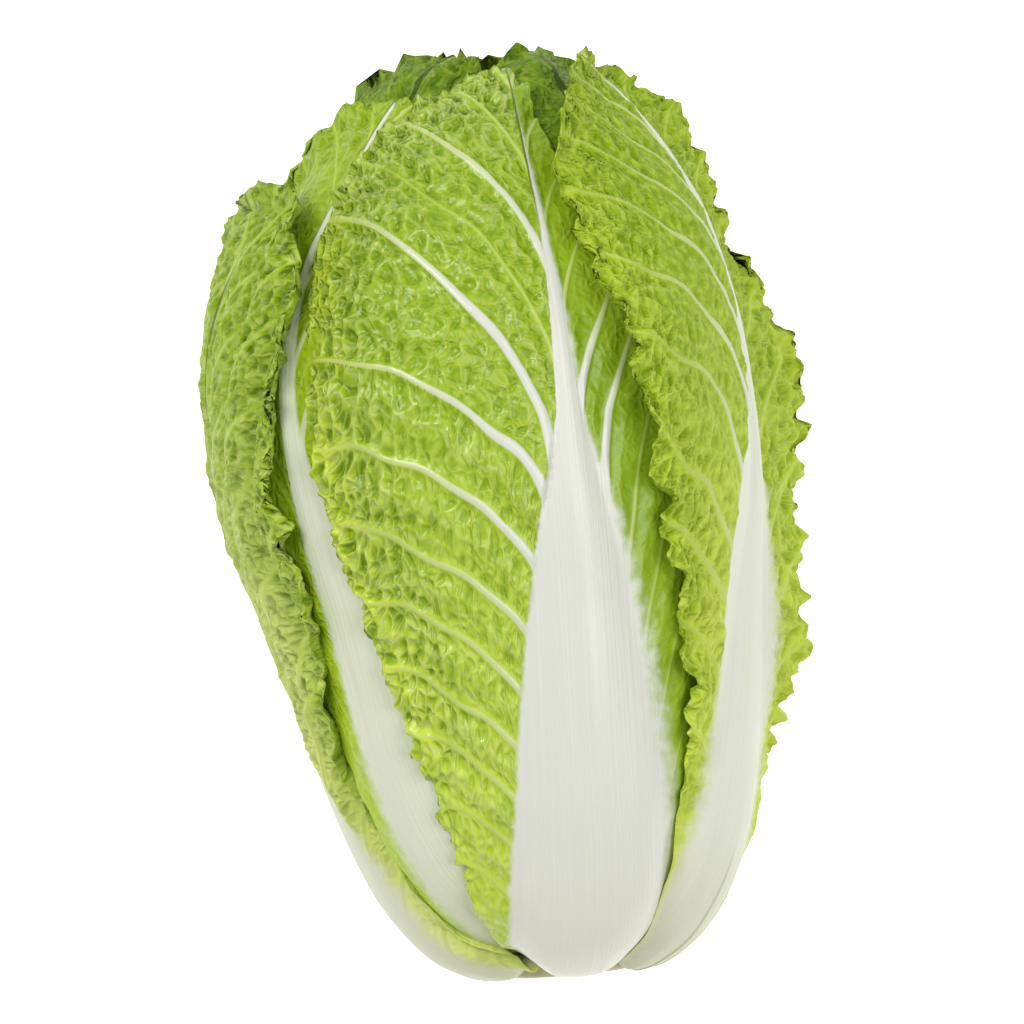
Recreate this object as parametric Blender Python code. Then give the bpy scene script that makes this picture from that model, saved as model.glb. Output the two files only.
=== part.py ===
"""A napa cabbage head, trimmed at the butt and lying on its side.

The head is a barrel of overlapping leaves round a short stem. +Y runs from the cut butt to the
leaf tips, +Z is up, and the origin is on the table under the middle of the head.

Every point of a leaf is given by three numbers: a bearing round the head, a station from the
stem (0) to the crown (1), and a depth below the head's outer surface. Leaves are laid from the
outside in, each one just under those before it, so no two of them ever meet.
"""

import math
from collections import namedtuple

import bpy
import numpy as np

MM = 0.001

# Driving dimensions, in millimetres.
HEAD_LENGTH = 291.0
HEAD_RADIUS = 86.0
AXIS_BOW = 12.0
TABLE_SAG = 4.0
TABLE_PRESS = 2.5
TABLE_REACH = 9.0
BLADE_THICKNESS = 1.2
RIB_HALF_WIDTH = 28.0
THINNEST_RIB_HALF_WIDTH = 3.0
RIB_BULGE = 9.0
STEM_GAP = 0.6
STEM_FACE = 1.5
STEM_DEPTH = 66.0
# The middle of the finished head's box, to the right of the axis and along from the butt.
MIDDLE_X = -5.41
MIDDLE_Y = 146.42

# Shares and slopes.
HEIGHT_SHARE = 0.93
AXIS_SLOPE = 0.04
BOW_PEAK = 1.75
RIB_SHARE_OUTWARD = 0.55
RIB_SHARE_OF_BLADE = 0.92

# The head's outline from the stem to the crown: shares of its length and of its radius.
OUTLINE = (
    (0.010, 0.230), (0.000, 0.310), (0.014, 0.425), (0.041, 0.545), (0.096, 0.670),
    (0.179, 0.773), (0.289, 0.855), (0.400, 0.925), (0.533, 1.000), (0.687, 0.985),
    (0.797, 0.885), (0.866, 0.755), (0.921, 0.610), (0.966, 0.450), (0.993, 0.290),
    (1.000, 0.060),
)
# A midrib's half width and bulge along the leaf, as shares of RIB_HALF_WIDTH and RIB_BULGE.
RIB_STATIONS = (0.0, 0.15, 0.30, 0.42, 0.52, 0.66, 0.95)
RIB_WIDTHS = (0.86, 1.0, 0.79, 0.54, 0.27, 0.15, 0.05)
RIB_BULGES = (0.9, 1.0, 0.8, 0.6, 0.4, 0.25, 0.08)

# Inner shells shrink towards a point on the axis. Lengthwise they shrink less than sideways,
# and least of all at the crown, where every leaf reaches nearly as high as the outer ones.
SHELL_CENTRE = 0.45
SHRINK_AT_STEM = 0.62
SHRINK_AT_CROWN = 0.30

# The grid that records how deep the next leaf has to start.
BEARINGS = 180
STATIONS = 120
# How many of its cells a leaf's depth is evened over, by bearing and by station, and how many
# degrees past its margins a leaf is taken to cover for each of those bearings.
WRAPPER_REACH = (3, 3)
INNER_REACH = (4, 3)
COVER_PER_CELL = 1.25

# Bearings are in degrees: 0 is the top of the head as it lies, +90 its right side. midrib is a
# bearing, left and right are how far the blade reaches to each side of it, and the flares lift
# its two margins and its tip off the head, in millimetres. Each of the lists holds a value for
# the leaf's foot, quarter, middle, three quarters and tip. gap is the air under the leaf.
Leaf = namedtuple(
    "Leaf",
    "name midrib left right tip gap flare_left flare_right tip_lift rib rows columns reach tone",
)
NO_FLARE = (0.0, 0.0, 0.0, 0.0, 0.0)
MARGIN_WAVES = 3.5
MARGIN_WAVE_SHARE = 0.35
TIP_ROUNDING = 0.22


def wrapper(name, midrib, left, right, tip, flare_left=NO_FLARE, flare_right=NO_FLARE,
            tip_lift=0.0, rib=1.0):
    """One of the large green leaves on the outside."""
    return Leaf(
        name, midrib, left, right, tip, 1.7, flare_left, flare_right, tip_lift, rib, 24, 17,
        WRAPPER_REACH, "leaf_green",
    )


WRAPPERS = (
    wrapper(
        "right_leaf", (55, 68, 78, 86, 66), (20, 29, 45, 62, 62), (28, 32, 28, 26, 26), 0.925,
        (-1, 0, 6, 8, 4), (0, 0, 16, 10, 0), 1.5,
    ),
    wrapper(
        "left_leaf", (-75, -88, -92, -84, -62), (46, 50, 54, 56, 60), (52, 22, 43, 40, 34), 0.805,
        (0, 0, 0, 2, 4), (-1, -0.5, 3, 5, 5), 3.0,
    ),
    wrapper("back_leaf", (176, 180, 184, 182, 180), (36, 46, 54, 60, 72), (36, 46, 54, 60, 72),
            0.92),
    wrapper(
        "front_leaf", (10, 12.5, 17, 18.5, 13), (41, 45, 57, 62, 68), (36, 34, 40, 15, 9), 0.93,
        (0, 1, 2, 2, 1),
    ),
    wrapper("right_back_leaf", (122, 125, 128, 126, 122), (34, 42, 50, 56, 68),
            (34, 42, 50, 56, 68), 0.93, rib=0.9),
    wrapper("left_back_leaf", (-142, -138, -136, -138, -142), (34, 42, 50, 56, 68),
            (42, 46, 50, 56, 68), 0.91, rib=0.9),
    wrapper(
        "left_front_leaf", (-32, -46, -47, -48, -42), (34, 40, 48, 48, 56), (30, 36, 44, 46, 48),
        0.90, (0, 0, 0, 1, 3), rib=0.9,
    ),
)

# Inner leaves follow one another round the stem by the golden angle, from the first bearing.
GOLDEN_ANGLE = 137.5
FIRST_INNER_BEARING = 45.0
HALF_ANGLE_SHARES = (0.65, 0.82, 1.0, 1.15, 1.5)
RINGS = (
    # name, leaves, half angle, tip, gap, tip lift, rib share, rows, columns, tone
    ("middle_leaf", 8, 54.0, 0.978, 3.0, 2.0, 0.72, 16, 13, "leaf_pale"),
    ("heart_leaf", 9, 58.0, 0.965, 4.7, 0.0, 0.50, 12, 9, "leaf_yellow"),
)

TONES = {
    # name: base colour, roughness
    "leaf_green": ((0.30, 0.47, 0.07), 0.42),
    "leaf_pale": ((0.50, 0.62, 0.18), 0.45),
    "leaf_yellow": ((0.78, 0.76, 0.38), 0.45),
    "stem_white": ((0.80, 0.78, 0.66), 0.55),
}


def smooth_step(value):
    held = np.clip(value, 0.0, 1.0)
    return held * held * (3.0 - 2.0 * held)


def curve_through(knots, spans):
    """Points on the Catmull-Rom curve through the knots. spans counts along them, from 0."""
    knots = np.asarray(knots, float)
    ends = np.concatenate([[2 * knots[0] - knots[1]], knots, [2 * knots[-1] - knots[-2]]])
    index = np.clip(np.floor(spans).astype(int), 0, len(knots) - 2)
    t = spans - index
    if knots.ndim > 1:
        t = t[..., None]
    before, start, end, after = (ends[index + step] for step in range(4))
    return 0.5 * (
        2 * start
        + (end - before) * t
        + (2 * before - 5 * start + 4 * end - after) * t**2
        + (3 * start - before - 3 * end + after) * t**3
    )


def along_leaf(values, share):
    """The value of one of a leaf's lists of five, at a share of its length."""
    return curve_through(values, np.clip(share, 0.0, 1.0) * (len(values) - 1))


def even_outline():
    """The outline's curve in millimetres, as points spaced evenly along it."""
    knots = [(y * HEAD_LENGTH, radius * HEAD_RADIUS) for y, radius in OUTLINE]
    line = curve_through(knots, np.linspace(0.0, len(knots) - 1, 24 * len(knots)))
    steps = np.linalg.norm(np.diff(line, axis=0), axis=1)
    reached = np.concatenate([[0.0], np.cumsum(steps)])
    even = np.linspace(0.0, reached[-1], STATIONS * 4)
    return np.stack([np.interp(even, reached, line[:, k]) for k in (0, 1)], axis=1)


LINE = even_outline()
LINE_STATIONS = np.linspace(0.0, 1.0, len(LINE))
CENTRE_Y = SHELL_CENTRE * HEAD_LENGTH
WIDEST_Y = LINE[np.argmax(LINE[:, 1]), 0]
AXIS_HEIGHT = HEIGHT_SHARE * HEAD_RADIUS - TABLE_SAG


def line_y(station):
    return np.interp(station, LINE_STATIONS, LINE[:, 0])


def line_radius(station):
    return np.interp(station, LINE_STATIONS, LINE[:, 1])


def lengthwise_shrink(y):
    share = smooth_step((y / HEAD_LENGTH - 0.25) / 0.4)
    return SHRINK_AT_STEM + (SHRINK_AT_CROWN - SHRINK_AT_STEM) * share


def depth_steps():
    """How much depth one millimetre takes up, measured square to the outline."""
    along = np.gradient(LINE, axis=0)
    square = np.stack([-along[:, 1], along[:, 0]], axis=1)
    square /= np.linalg.norm(square, axis=1)[:, None]
    y, radius = LINE[:, 0], LINE[:, 1]
    moved = np.stack([lengthwise_shrink(y) * (y - CENTRE_Y), radius], axis=1) / HEAD_RADIUS
    return 1.0 / np.abs((moved * square).sum(axis=1))


DEPTH_STEPS = depth_steps()


def depth_per_mm(station):
    return np.interp(station, LINE_STATIONS, DEPTH_STEPS)


def axis_height(y):
    return AXIS_HEIGHT + AXIS_SLOPE * (y - WIDEST_Y)


def place(bearing, station, depth):
    """The point at a bearing (radians), a station and a depth, in metres."""
    on_line_y = line_y(station)
    share = depth / HEAD_RADIUS
    y = CENTRE_Y + (1.0 - lengthwise_shrink(on_line_y) * share) * (on_line_y - CENTRE_Y)
    down = np.maximum(-np.cos(bearing), 1e-6)
    to_table = axis_height(on_line_y) / (HEIGHT_SHARE * down)
    radius = (1.0 - share) * np.minimum(line_radius(station), to_table)
    bow = AXIS_BOW * np.sin(np.pi * np.clip(y / HEAD_LENGTH, 0.0, 1.0) ** BOW_PEAK)
    x = radius * np.sin(bearing) - bow
    z = axis_height(y) + HEIGHT_SHARE * radius * np.cos(bearing)
    return np.stack([x - MIDDLE_X, y - MIDDLE_Y, np.maximum(z, 0.0)], axis=-1) * MM


def rib_size(leaf, station):
    """A midrib's half width as an angle, and its bulge in millimetres."""
    width = leaf.rib * RIB_HALF_WIDTH * np.interp(station, RIB_STATIONS, RIB_WIDTHS)
    width = np.maximum(width, THINNEST_RIB_HALF_WIDTH)
    bulge = leaf.rib * RIB_BULGE * np.interp(station, RIB_STATIONS, RIB_BULGES)
    return width / line_radius(station), bulge


def spread(leaf, station):
    """The bearing of a leaf's midrib and how far its blade reaches to each side, in radians."""
    share = station / leaf.tip
    into_tip = np.clip((share - 1.0 + TIP_ROUNDING) / TIP_ROUNDING, 0.0, 0.985)
    rounding = np.sqrt(1.0 - into_tip**2)
    midrib = np.radians(along_leaf(leaf.midrib, share))
    left = np.radians(along_leaf(leaf.left, share)) * rounding
    right = np.radians(along_leaf(leaf.right, share)) * rounding
    return midrib, left, right


def turned_from(midrib, bearing):
    """The signed angle from the midrib to a bearing, between -pi and pi."""
    return (bearing - midrib + np.pi) % (2 * np.pi) - np.pi


def flare(leaf, across, share):
    """How far a leaf lifts off the head, in millimetres. across runs from -1 to 1."""
    sides = (along_leaf(leaf.flare_left, share), along_leaf(leaf.flare_right, share))
    waves = 1.0 + MARGIN_WAVE_SHARE * np.sin(2 * np.pi * MARGIN_WAVES * share)
    margin = np.where(across < 0, *sides) * waves * smooth_step((np.abs(across) - 0.35) / 0.65)
    return margin + leaf.tip_lift * smooth_step((share - 0.7) / 0.3)


def neighbours(field, bearings, stations):
    """The field moved by each step within reach. Bearings wrap round, stations end."""
    padded = np.pad(field, ((0, 0), (stations, stations)), mode="edge")
    count = field.shape[1]
    moved = []
    for turn in range(-bearings, bearings + 1):
        rolled = np.roll(padded, turn, axis=0)
        moved += [rolled[:, step : step + count] for step in range(2 * stations + 1)]
    return moved


def sampled(field, bearing, station):
    """A grid field's value between its cells."""
    row = (bearing / (2 * np.pi) + 0.5) % 1.0 * BEARINGS
    column = np.clip(station, 0.0, 1.0) * (STATIONS - 1)
    row_0 = np.floor(row).astype(int) % BEARINGS
    row_1 = (row_0 + 1) % BEARINGS
    column_0 = np.minimum(np.floor(column).astype(int), STATIONS - 2)
    u = row - np.floor(row)
    v = column - column_0
    lower = field[row_0, column_0] * (1 - u) + field[row_1, column_0] * u
    upper = field[row_0, column_0 + 1] * (1 - u) + field[row_1, column_0 + 1] * u
    return lower * (1 - v) + upper * v


GRID = np.meshgrid(
    np.linspace(-np.pi, np.pi, BEARINGS, endpoint=False),
    np.linspace(0.0, 1.0, STATIONS),
    indexing="ij",
)


def rib_rise(leaf, station, bearing):
    """How thick a midrib is at a bearing. It thins away to nothing before the margins."""
    midrib, left, right = spread(leaf, station)
    angle = turned_from(midrib, bearing)
    full_width, bulge = rib_size(leaf, station)
    half_width = np.minimum(full_width, RIB_SHARE_OF_BLADE * np.where(angle < 0, left, right))
    round_top = np.clip(1.0 - (angle / half_width) ** 2, 0.0, 1.0) ** 1.5
    return bulge * np.sqrt(half_width / full_width) * round_top


def in_the_open(free_from, bearing, station):
    """1 where no leaf lies outside this point, falling quickly to 0 under one."""
    return np.exp(-sampled(free_from, bearing, station))


def laid_under(leaf, free_from):
    """The depth of a leaf's blade over the whole grid, just below the leaves outside it."""
    bearing, station = GRID
    outward = RIB_SHARE_OUTWARD * rib_rise(leaf, station, bearing)
    needed = free_from + outward * depth_per_mm(station)
    widest = np.max(neighbours(needed, *leaf.reach), axis=0)
    return np.mean(neighbours(widest, *leaf.reach), axis=0)


def faces_of(leaf, blade, free_from, bearing, station):
    """The depths of a leaf's outer and inner faces."""
    midrib, left, right = spread(leaf, station)
    angle = turned_from(midrib, bearing)
    across = np.where(angle < 0, angle / left, angle / right)
    rise = rib_rise(leaf, station, bearing)
    lift = in_the_open(free_from, bearing, station) * flare(leaf, across, station / leaf.tip)
    step = depth_per_mm(station)
    middle = sampled(blade, bearing, station) - lift * step
    outer = middle - RIB_SHARE_OUTWARD * rise * step
    inner = middle + (BLADE_THICKNESS + (1 - RIB_SHARE_OUTWARD) * rise) * step
    return outer, inner


def taken_by(leaf, blade, free_from):
    """Where the next leaf may start, once this one is laid."""
    bearing, station = GRID
    midrib, left, right = spread(leaf, station)
    angle = turned_from(midrib, bearing)
    margin = np.radians(COVER_PER_CELL * leaf.reach[0])
    covered = (angle > -left - margin) & (angle < right + margin)
    covered &= station < leaf.tip + 0.02
    thick = BLADE_THICKNESS + (1 - RIB_SHARE_OUTWARD) * rib_rise(leaf, station, bearing)
    under = blade + thick * depth_per_mm(station) + leaf.gap
    return np.where(covered, np.maximum(free_from, under), free_from)


def columns_of(leaf, station):
    """The bearings of a leaf's columns at one station, from its left margin to its right."""
    midrib, left, right = spread(leaf, station)
    rib, _ = rib_size(leaf, station)
    half = leaf.columns // 2
    on_rib = 2 if leaf.columns > 9 else 1
    sides = []
    for reach in (left, right):
        edge = min(rib, 0.8 * reach)
        on_blade = np.linspace(edge, reach, half - on_rib + 1)
        sides.append(np.concatenate([np.linspace(0.0, edge, on_rib + 1), on_blade[1:]]))
    return np.concatenate([midrib - sides[0][::-1], midrib + sides[1][1:]])


def stations_of(leaf):
    """The stations of a leaf's rows, closer together at its foot and its tip."""
    even = np.linspace(0.0, 1.0, leaf.rows)
    return leaf.tip * (0.55 * even + 0.225 * (1.0 - np.cos(np.pi * even)))


def settled(points, open_air):
    """The points lowered onto the table where they come near it with no leaf below them."""
    height = points[..., 2]
    near = 1.0 - smooth_step(height / (TABLE_REACH * MM))
    lowered = np.maximum(height - TABLE_PRESS * MM * open_air * near, 0.0)
    return np.concatenate([points[..., :2], lowered[..., None]], axis=-1)


def leaf_solid(leaf, blade, free_from):
    """One closed mesh: an outer face, an inner face and a strip round the margin."""
    stations = stations_of(leaf)
    bearing = np.array([columns_of(leaf, station) for station in stations])
    station = np.repeat(stations[:, None], leaf.columns, axis=1)
    outer, inner = faces_of(leaf, blade, free_from, bearing, station)
    open_air = in_the_open(free_from, bearing, station)
    outer_face = settled(place(bearing, station, outer), open_air)
    inner_face = place(bearing, station, inner)
    points = np.concatenate([outer_face.reshape(-1, 3), inner_face.reshape(-1, 3)])
    count = leaf.rows * leaf.columns
    index = np.arange(count).reshape(leaf.rows, leaf.columns)
    triangles = []
    for row in range(leaf.rows - 1):
        for column in range(leaf.columns - 1):
            a, b = index[row, column], index[row, column + 1]
            d, c = index[row + 1, column], index[row + 1, column + 1]
            triangles += [(a, b, c), (a, c, d)]
            triangles += [(count + a, count + c, count + b), (count + a, count + d, count + c)]
    rim = [*index[0], *index[1:, -1], *index[-1, -2::-1], *index[-2:0:-1, 0]]
    for start, end in zip(rim, rim[1:] + rim[:1]):
        triangles += [(start, count + end, end), (start, count + start, count + end)]
    return points, triangles


def material(tone):
    found = bpy.data.materials.get(tone)
    if found:
        return found
    colour, roughness = TONES[tone]
    made = bpy.data.materials.new(tone)
    made.use_nodes = True
    shader = made.node_tree.nodes["Principled BSDF"]
    shader.inputs["Base Color"].default_value = (*colour, 1.0)
    shader.inputs["Roughness"].default_value = roughness
    shader.inputs["Metallic"].default_value = 0.0
    return made


def add_object(name, points, faces, tone):
    mesh = bpy.data.meshes.new(name)
    mesh.from_pydata(
        [tuple(map(float, point)) for point in points],
        [],
        [tuple(map(int, face)) for face in faces],
    )
    mesh.validate()
    mesh.shade_smooth()
    mesh.set_sharp_from_angle(angle=math.radians(50.0))
    mesh.materials.append(material(tone))
    made = bpy.data.objects.new(name, mesh)
    bpy.context.scene.collection.objects.link(made)
    return made


def inner_leaves():
    """The leaves of the rings inside the wrappers, in the order that they are laid."""
    bearing = FIRST_INNER_BEARING
    leaves = []
    for name, number, half_angle, tip, gap, tip_lift, rib, rows, columns, tone in RINGS:
        half = tuple(half_angle * share for share in HALF_ANGLE_SHARES)
        for index in range(number):
            leaves.append(
                Leaf(
                    f"{name}_{index + 1}", (bearing,) * 5, half, half, tip, gap, NO_FLARE,
                    NO_FLARE, tip_lift, rib, rows, columns, INNER_REACH, tone,
                )
            )
            bearing += GOLDEN_ANGLE
    return leaves


def add_stem():
    """The stem: a cone that every leaf's foot stands on, cut flat at the butt."""
    segments = 24
    bearings = np.linspace(0.0, 2 * np.pi, segments, endpoint=False)
    foot = np.zeros(segments)
    points = []
    for depth in np.linspace(0.0, STEM_DEPTH, 5):
        ring = place(bearings, foot, foot + depth)
        middle = ring.mean(axis=0)
        radius = line_radius(0.0) * (1 - depth / HEAD_RADIUS)
        points.append(middle + (ring - middle) * (1 - STEM_GAP / radius))
    points[0][:, 1] = (STEM_FACE - MIDDLE_Y) * MM
    faces = []
    for row in range(len(points) - 1):
        for column in range(segments):
            a = row * segments + column
            b = row * segments + (column + 1) % segments
            faces.append((a, b, b + segments, a + segments))
    last = (len(points) - 1) * segments
    faces.append(tuple(reversed(range(segments))))
    faces.append(tuple(range(last, last + segments)))
    return add_object("stem", np.concatenate(points), faces, "stem_white")


def main():
    for old in list(bpy.data.objects):
        bpy.data.objects.remove(old)
    free_from = np.zeros((BEARINGS, STATIONS))
    for leaf in [*WRAPPERS, *inner_leaves()]:
        blade = laid_under(leaf, free_from)
        points, triangles = leaf_solid(leaf, blade, free_from)
        add_object(leaf.name, points, triangles, leaf.tone)
        free_from = taken_by(leaf, blade, free_from)
    add_stem()


main()
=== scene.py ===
import math
from collections import namedtuple

import bpy
import numpy as np
from mathutils import Matrix


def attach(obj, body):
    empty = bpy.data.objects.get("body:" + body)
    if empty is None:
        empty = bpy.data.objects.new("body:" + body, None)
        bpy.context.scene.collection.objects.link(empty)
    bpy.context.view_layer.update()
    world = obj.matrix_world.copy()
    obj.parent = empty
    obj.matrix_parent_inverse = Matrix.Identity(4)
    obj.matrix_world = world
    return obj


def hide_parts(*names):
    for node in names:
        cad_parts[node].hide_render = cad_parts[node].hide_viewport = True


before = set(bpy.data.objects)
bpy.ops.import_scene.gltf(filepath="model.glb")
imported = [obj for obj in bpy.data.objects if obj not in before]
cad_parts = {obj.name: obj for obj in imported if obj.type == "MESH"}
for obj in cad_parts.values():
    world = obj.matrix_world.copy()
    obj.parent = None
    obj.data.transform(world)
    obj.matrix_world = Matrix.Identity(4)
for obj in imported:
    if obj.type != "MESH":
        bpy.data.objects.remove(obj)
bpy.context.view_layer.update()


# ------------------------------------------------------------
# The stem. The short solid core of the head, cut straight across when the head was harvested.
# Every leaf grows from it, so the form that the leaves wrap round is set out here as well:
# a blunt barrel, bowed a little to one side and pressed flat where it lies on the table.
# ------------------------------------------------------------
MM = 0.001
HEAD_LENGTH = 291.0
HEAD_RADIUS = 86.0
AXIS_X = 5.41
FOOT_Y = -146.42
AXIS_BOW = 12.0
BOW_PEAK = 1.75
HEIGHT_SHARE = 0.93
TABLE_SAG = 4.0
AXIS_SLOPE = 0.04
STEM_FACE = 1.5
STEM_DEPTH = 66.0
STEM_GAP = 0.6

# The head's outline from the stem to the crown: shares of its length and of its radius.
OUTLINE = (
    (0.010, 0.230), (0.000, 0.310), (0.014, 0.425), (0.041, 0.545), (0.096, 0.670),
    (0.179, 0.773), (0.289, 0.855), (0.400, 0.925), (0.533, 1.000), (0.687, 0.985),
    (0.797, 0.885), (0.866, 0.755), (0.921, 0.610), (0.966, 0.450), (0.993, 0.290),
    (1.000, 0.060),
)
# Leaves deeper in the head are smaller: they shrink lengthwise by these shares of the depth.
SHELL_CENTRE = 0.45
SHRINK_AT_STEM = 0.62
SHRINK_AT_CROWN = 0.30


def smooth_step(value):
    held = np.clip(value, 0.0, 1.0)
    return held * held * (3.0 - 2.0 * held)


def curve_through(knots, spans):
    """Points on the smooth curve through the knots. spans counts along them, from 0."""
    knots = np.asarray(knots, float)
    ends = np.concatenate([[2 * knots[0] - knots[1]], knots, [2 * knots[-1] - knots[-2]]])
    index = np.clip(np.floor(spans).astype(int), 0, len(knots) - 2)
    t = spans - index
    if knots.ndim > 1:
        t = t[..., None]
    before, start, end, after = (ends[index + step] for step in range(4))
    return 0.5 * (
        2 * start
        + (end - before) * t
        + (2 * before - 5 * start + 4 * end - after) * t**2
        + (3 * start - before - 3 * end + after) * t**3
    )


def even_outline(count=480):
    """The outline in millimetres, as points evenly spaced along it, and its length."""
    knots = [(y * HEAD_LENGTH, radius * HEAD_RADIUS) for y, radius in OUTLINE]
    line = curve_through(knots, np.linspace(0.0, len(knots) - 1, 24 * len(knots)))
    reached = np.concatenate([[0.0], np.cumsum(np.linalg.norm(np.diff(line, axis=0), axis=1))])
    even = np.linspace(0.0, reached[-1], count)
    return np.stack([np.interp(even, reached, line[:, k]) for k in (0, 1)], axis=1), reached[-1]


LINE, LINE_LENGTH = even_outline()
LINE_STATIONS = np.linspace(0.0, 1.0, len(LINE))
CENTRE_Y = SHELL_CENTRE * HEAD_LENGTH
WIDEST_Y = LINE[np.argmax(LINE[:, 1]), 0]
AXIS_HEIGHT = HEIGHT_SHARE * HEAD_RADIUS - TABLE_SAG


def line_radius(station):
    return np.interp(station, LINE_STATIONS, LINE[:, 1])


def lengthwise_shrink(y):
    share = smooth_step((y / HEAD_LENGTH - 0.25) / 0.4)
    return SHRINK_AT_STEM + (SHRINK_AT_CROWN - SHRINK_AT_STEM) * share


def axis_height(y):
    return AXIS_HEIGHT + AXIS_SLOPE * (y - WIDEST_Y)


def place(bearing, station, depth):
    """The point at a bearing (radians), a station (0 stem, 1 crown) and a depth (mm)."""
    on_line_y = np.interp(station, LINE_STATIONS, LINE[:, 0])
    share = depth / HEAD_RADIUS
    y = CENTRE_Y + (1.0 - lengthwise_shrink(on_line_y) * share) * (on_line_y - CENTRE_Y)
    down = np.maximum(-np.cos(bearing), 1e-6)
    to_table = axis_height(on_line_y) / (HEIGHT_SHARE * down)
    radius = (1.0 - share) * np.minimum(line_radius(station), to_table)
    bow = AXIS_BOW * np.sin(np.pi * np.clip(y / HEAD_LENGTH, 0.0, 1.0) ** BOW_PEAK)
    x = radius * np.sin(bearing) - bow + AXIS_X
    z = axis_height(y) + HEIGHT_SHARE * radius * np.cos(bearing)
    return np.stack([x, y + FOOT_Y, np.maximum(z, 0.0)], axis=-1) * MM


class Wiring:
    """Adds nodes to one tree, of a surface or of a finish, and joins them up."""

    def __init__(self, tree):
        self.tree = tree
        tree.nodes.clear()

    def add(self, kind, values=None, out=0, **settings):
        node = self.tree.nodes.new(kind)
        for name, value in settings.items():
            setattr(node, name, value)
        for name, value in (values or {}).items():
            if isinstance(value, bpy.types.NodeSocket):
                self.tree.links.new(value, node.inputs[name])
            else:
                node.inputs[name].default_value = value
        return node.outputs[out]

    def sum(self, *values):
        total = values[0]
        for value in values[1:]:
            total = self.math("ADD", total, value)
        return total

    def times(self, *values):
        total = values[0]
        for value in values[1:]:
            total = self.math("MULTIPLY", total, value)
        return total

    def math(self, operation, *values):
        return self.add("ShaderNodeMath", dict(enumerate(values)), operation=operation)

    def ramp(self, value, start, end, low=0.0, high=1.0):
        """low below the start and high past the end, with a smooth rise between them."""
        ends = {"Value": value, "From Min": start, "From Max": end, "To Min": low, "To Max": high}
        return self.add("ShaderNodeMapRange", ends, interpolation_type="SMOOTHSTEP")

    def point(self, x=0.0, y=0.0, z=0.0):
        return self.add("ShaderNodeCombineXYZ", {0: x, 1: y, 2: z})

    def noise(self, vector, scale=1.0, detail=2.0, roughness=0.5, dimensions="3D", out=0):
        values = {"Vector": vector, "Scale": scale, "Detail": detail, "Roughness": roughness}
        return self.add("ShaderNodeTexNoise", values, out=out, noise_dimensions=dimensions)

    def cell_edge(self, vector, scale=1.0):
        """How far a point is from the edge of the rounded cell that it lies in."""
        values = {"Vector": vector, "Scale": scale, "Randomness": 0.9}
        kinds = {"feature": "DISTANCE_TO_EDGE", "voronoi_dimensions": "2D"}
        return self.add("ShaderNodeTexVoronoi", values, **kinds)

    def mix(self, share, low, high):
        """One colour laid over another by a share."""
        values = {0: share, 6: low, 7: high}
        return self.add("ShaderNodeMix", values, out=2, data_type="RGBA", clamp_factor=True)

    def read(self, name):
        """A value that the mesh holds at every point of the piece."""
        if self.tree.bl_idname == "GeometryNodeTree":
            return self.add("GeometryNodeInputNamedAttribute", {"Name": name})
        return self.add("ShaderNodeAttribute", out=2, attribute_name=name)


def paint(red, green, blue):
    """A colour as a painter mixes it, 0 to 255, made linear for the shader."""
    parts = [part / 255.0 for part in (red, green, blue)]
    linear = [p / 12.92 if p <= 0.04045 else ((p + 0.055) / 1.055) ** 2.4 for p in parts]
    return (*linear, 1.0)


def finish_of(name, roughness=0.4, coat=0.0, flesh=0.0, flesh_depth=0.002):
    """A new material with the settings that are the same all over it, and its wiring."""
    made = bpy.data.materials.new(name)
    made.use_nodes = True
    wires = Wiring(made.node_tree)
    shader = made.node_tree.nodes.new("ShaderNodeBsdfPrincipled")
    output = made.node_tree.nodes.new("ShaderNodeOutputMaterial")
    made.node_tree.links.new(shader.outputs[0], output.inputs["Surface"])
    shader.inputs["Roughness"].default_value = roughness
    shader.inputs["Coat Weight"].default_value = coat
    shader.inputs["Coat Roughness"].default_value = 0.22
    shader.inputs["Subsurface Weight"].default_value = flesh
    shader.inputs["Subsurface Radius"].default_value = (1.0, 0.9, 0.35)
    shader.inputs["Subsurface Scale"].default_value = flesh_depth
    return made, wires, shader


def connect(wires, shader, **sockets):
    """Joins values to the shader's inputs, each named as the input is."""
    for name, socket in sockets.items():
        wires.tree.links.new(socket, shader.inputs[name.replace("_", " ").title()])


def cut_stem_finish():
    """Firm cream-white flesh, a little drier and browner towards the rim of the cut."""
    made, wires, shader = finish_of("cut_stem", roughness=0.5, flesh=0.15, flesh_depth=0.003)
    spot = wires.add("ShaderNodeTexCoord", out=3)
    grain = wires.noise(spot, scale=420.0, detail=4.0)
    cloud = wires.noise(spot, scale=70.0, detail=3.0)
    from_middle = wires.read("from_middle")
    flesh = wires.mix(grain, paint(232, 228, 200), paint(205, 203, 160))
    flesh = wires.mix(wires.ramp(cloud, 0.45, 0.75), flesh, paint(196, 186, 130))
    rim = wires.times(wires.ramp(from_middle, 0.70, 0.98), wires.ramp(cloud, 0.2, 0.7))
    colour = wires.mix(rim, flesh, paint(208, 200, 154))
    bump = wires.add(
        "ShaderNodeBump", {"Height": grain, "Distance": 0.0004, "Strength": 0.7}
    )
    connect(wires, shader, base_color=colour, normal=bump)
    return made


def write_values(mesh, **values):
    """Stores values on a mesh, one for each of its points."""
    for name, value in values.items():
        value = np.ascontiguousarray(value, np.float32)
        kind, key = ("FLOAT_VECTOR", "vector") if value.ndim > 1 else ("FLOAT", "value")
        mesh.attributes.new(name, kind, "POINT").data.foreach_set(key, value.ravel())


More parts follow.
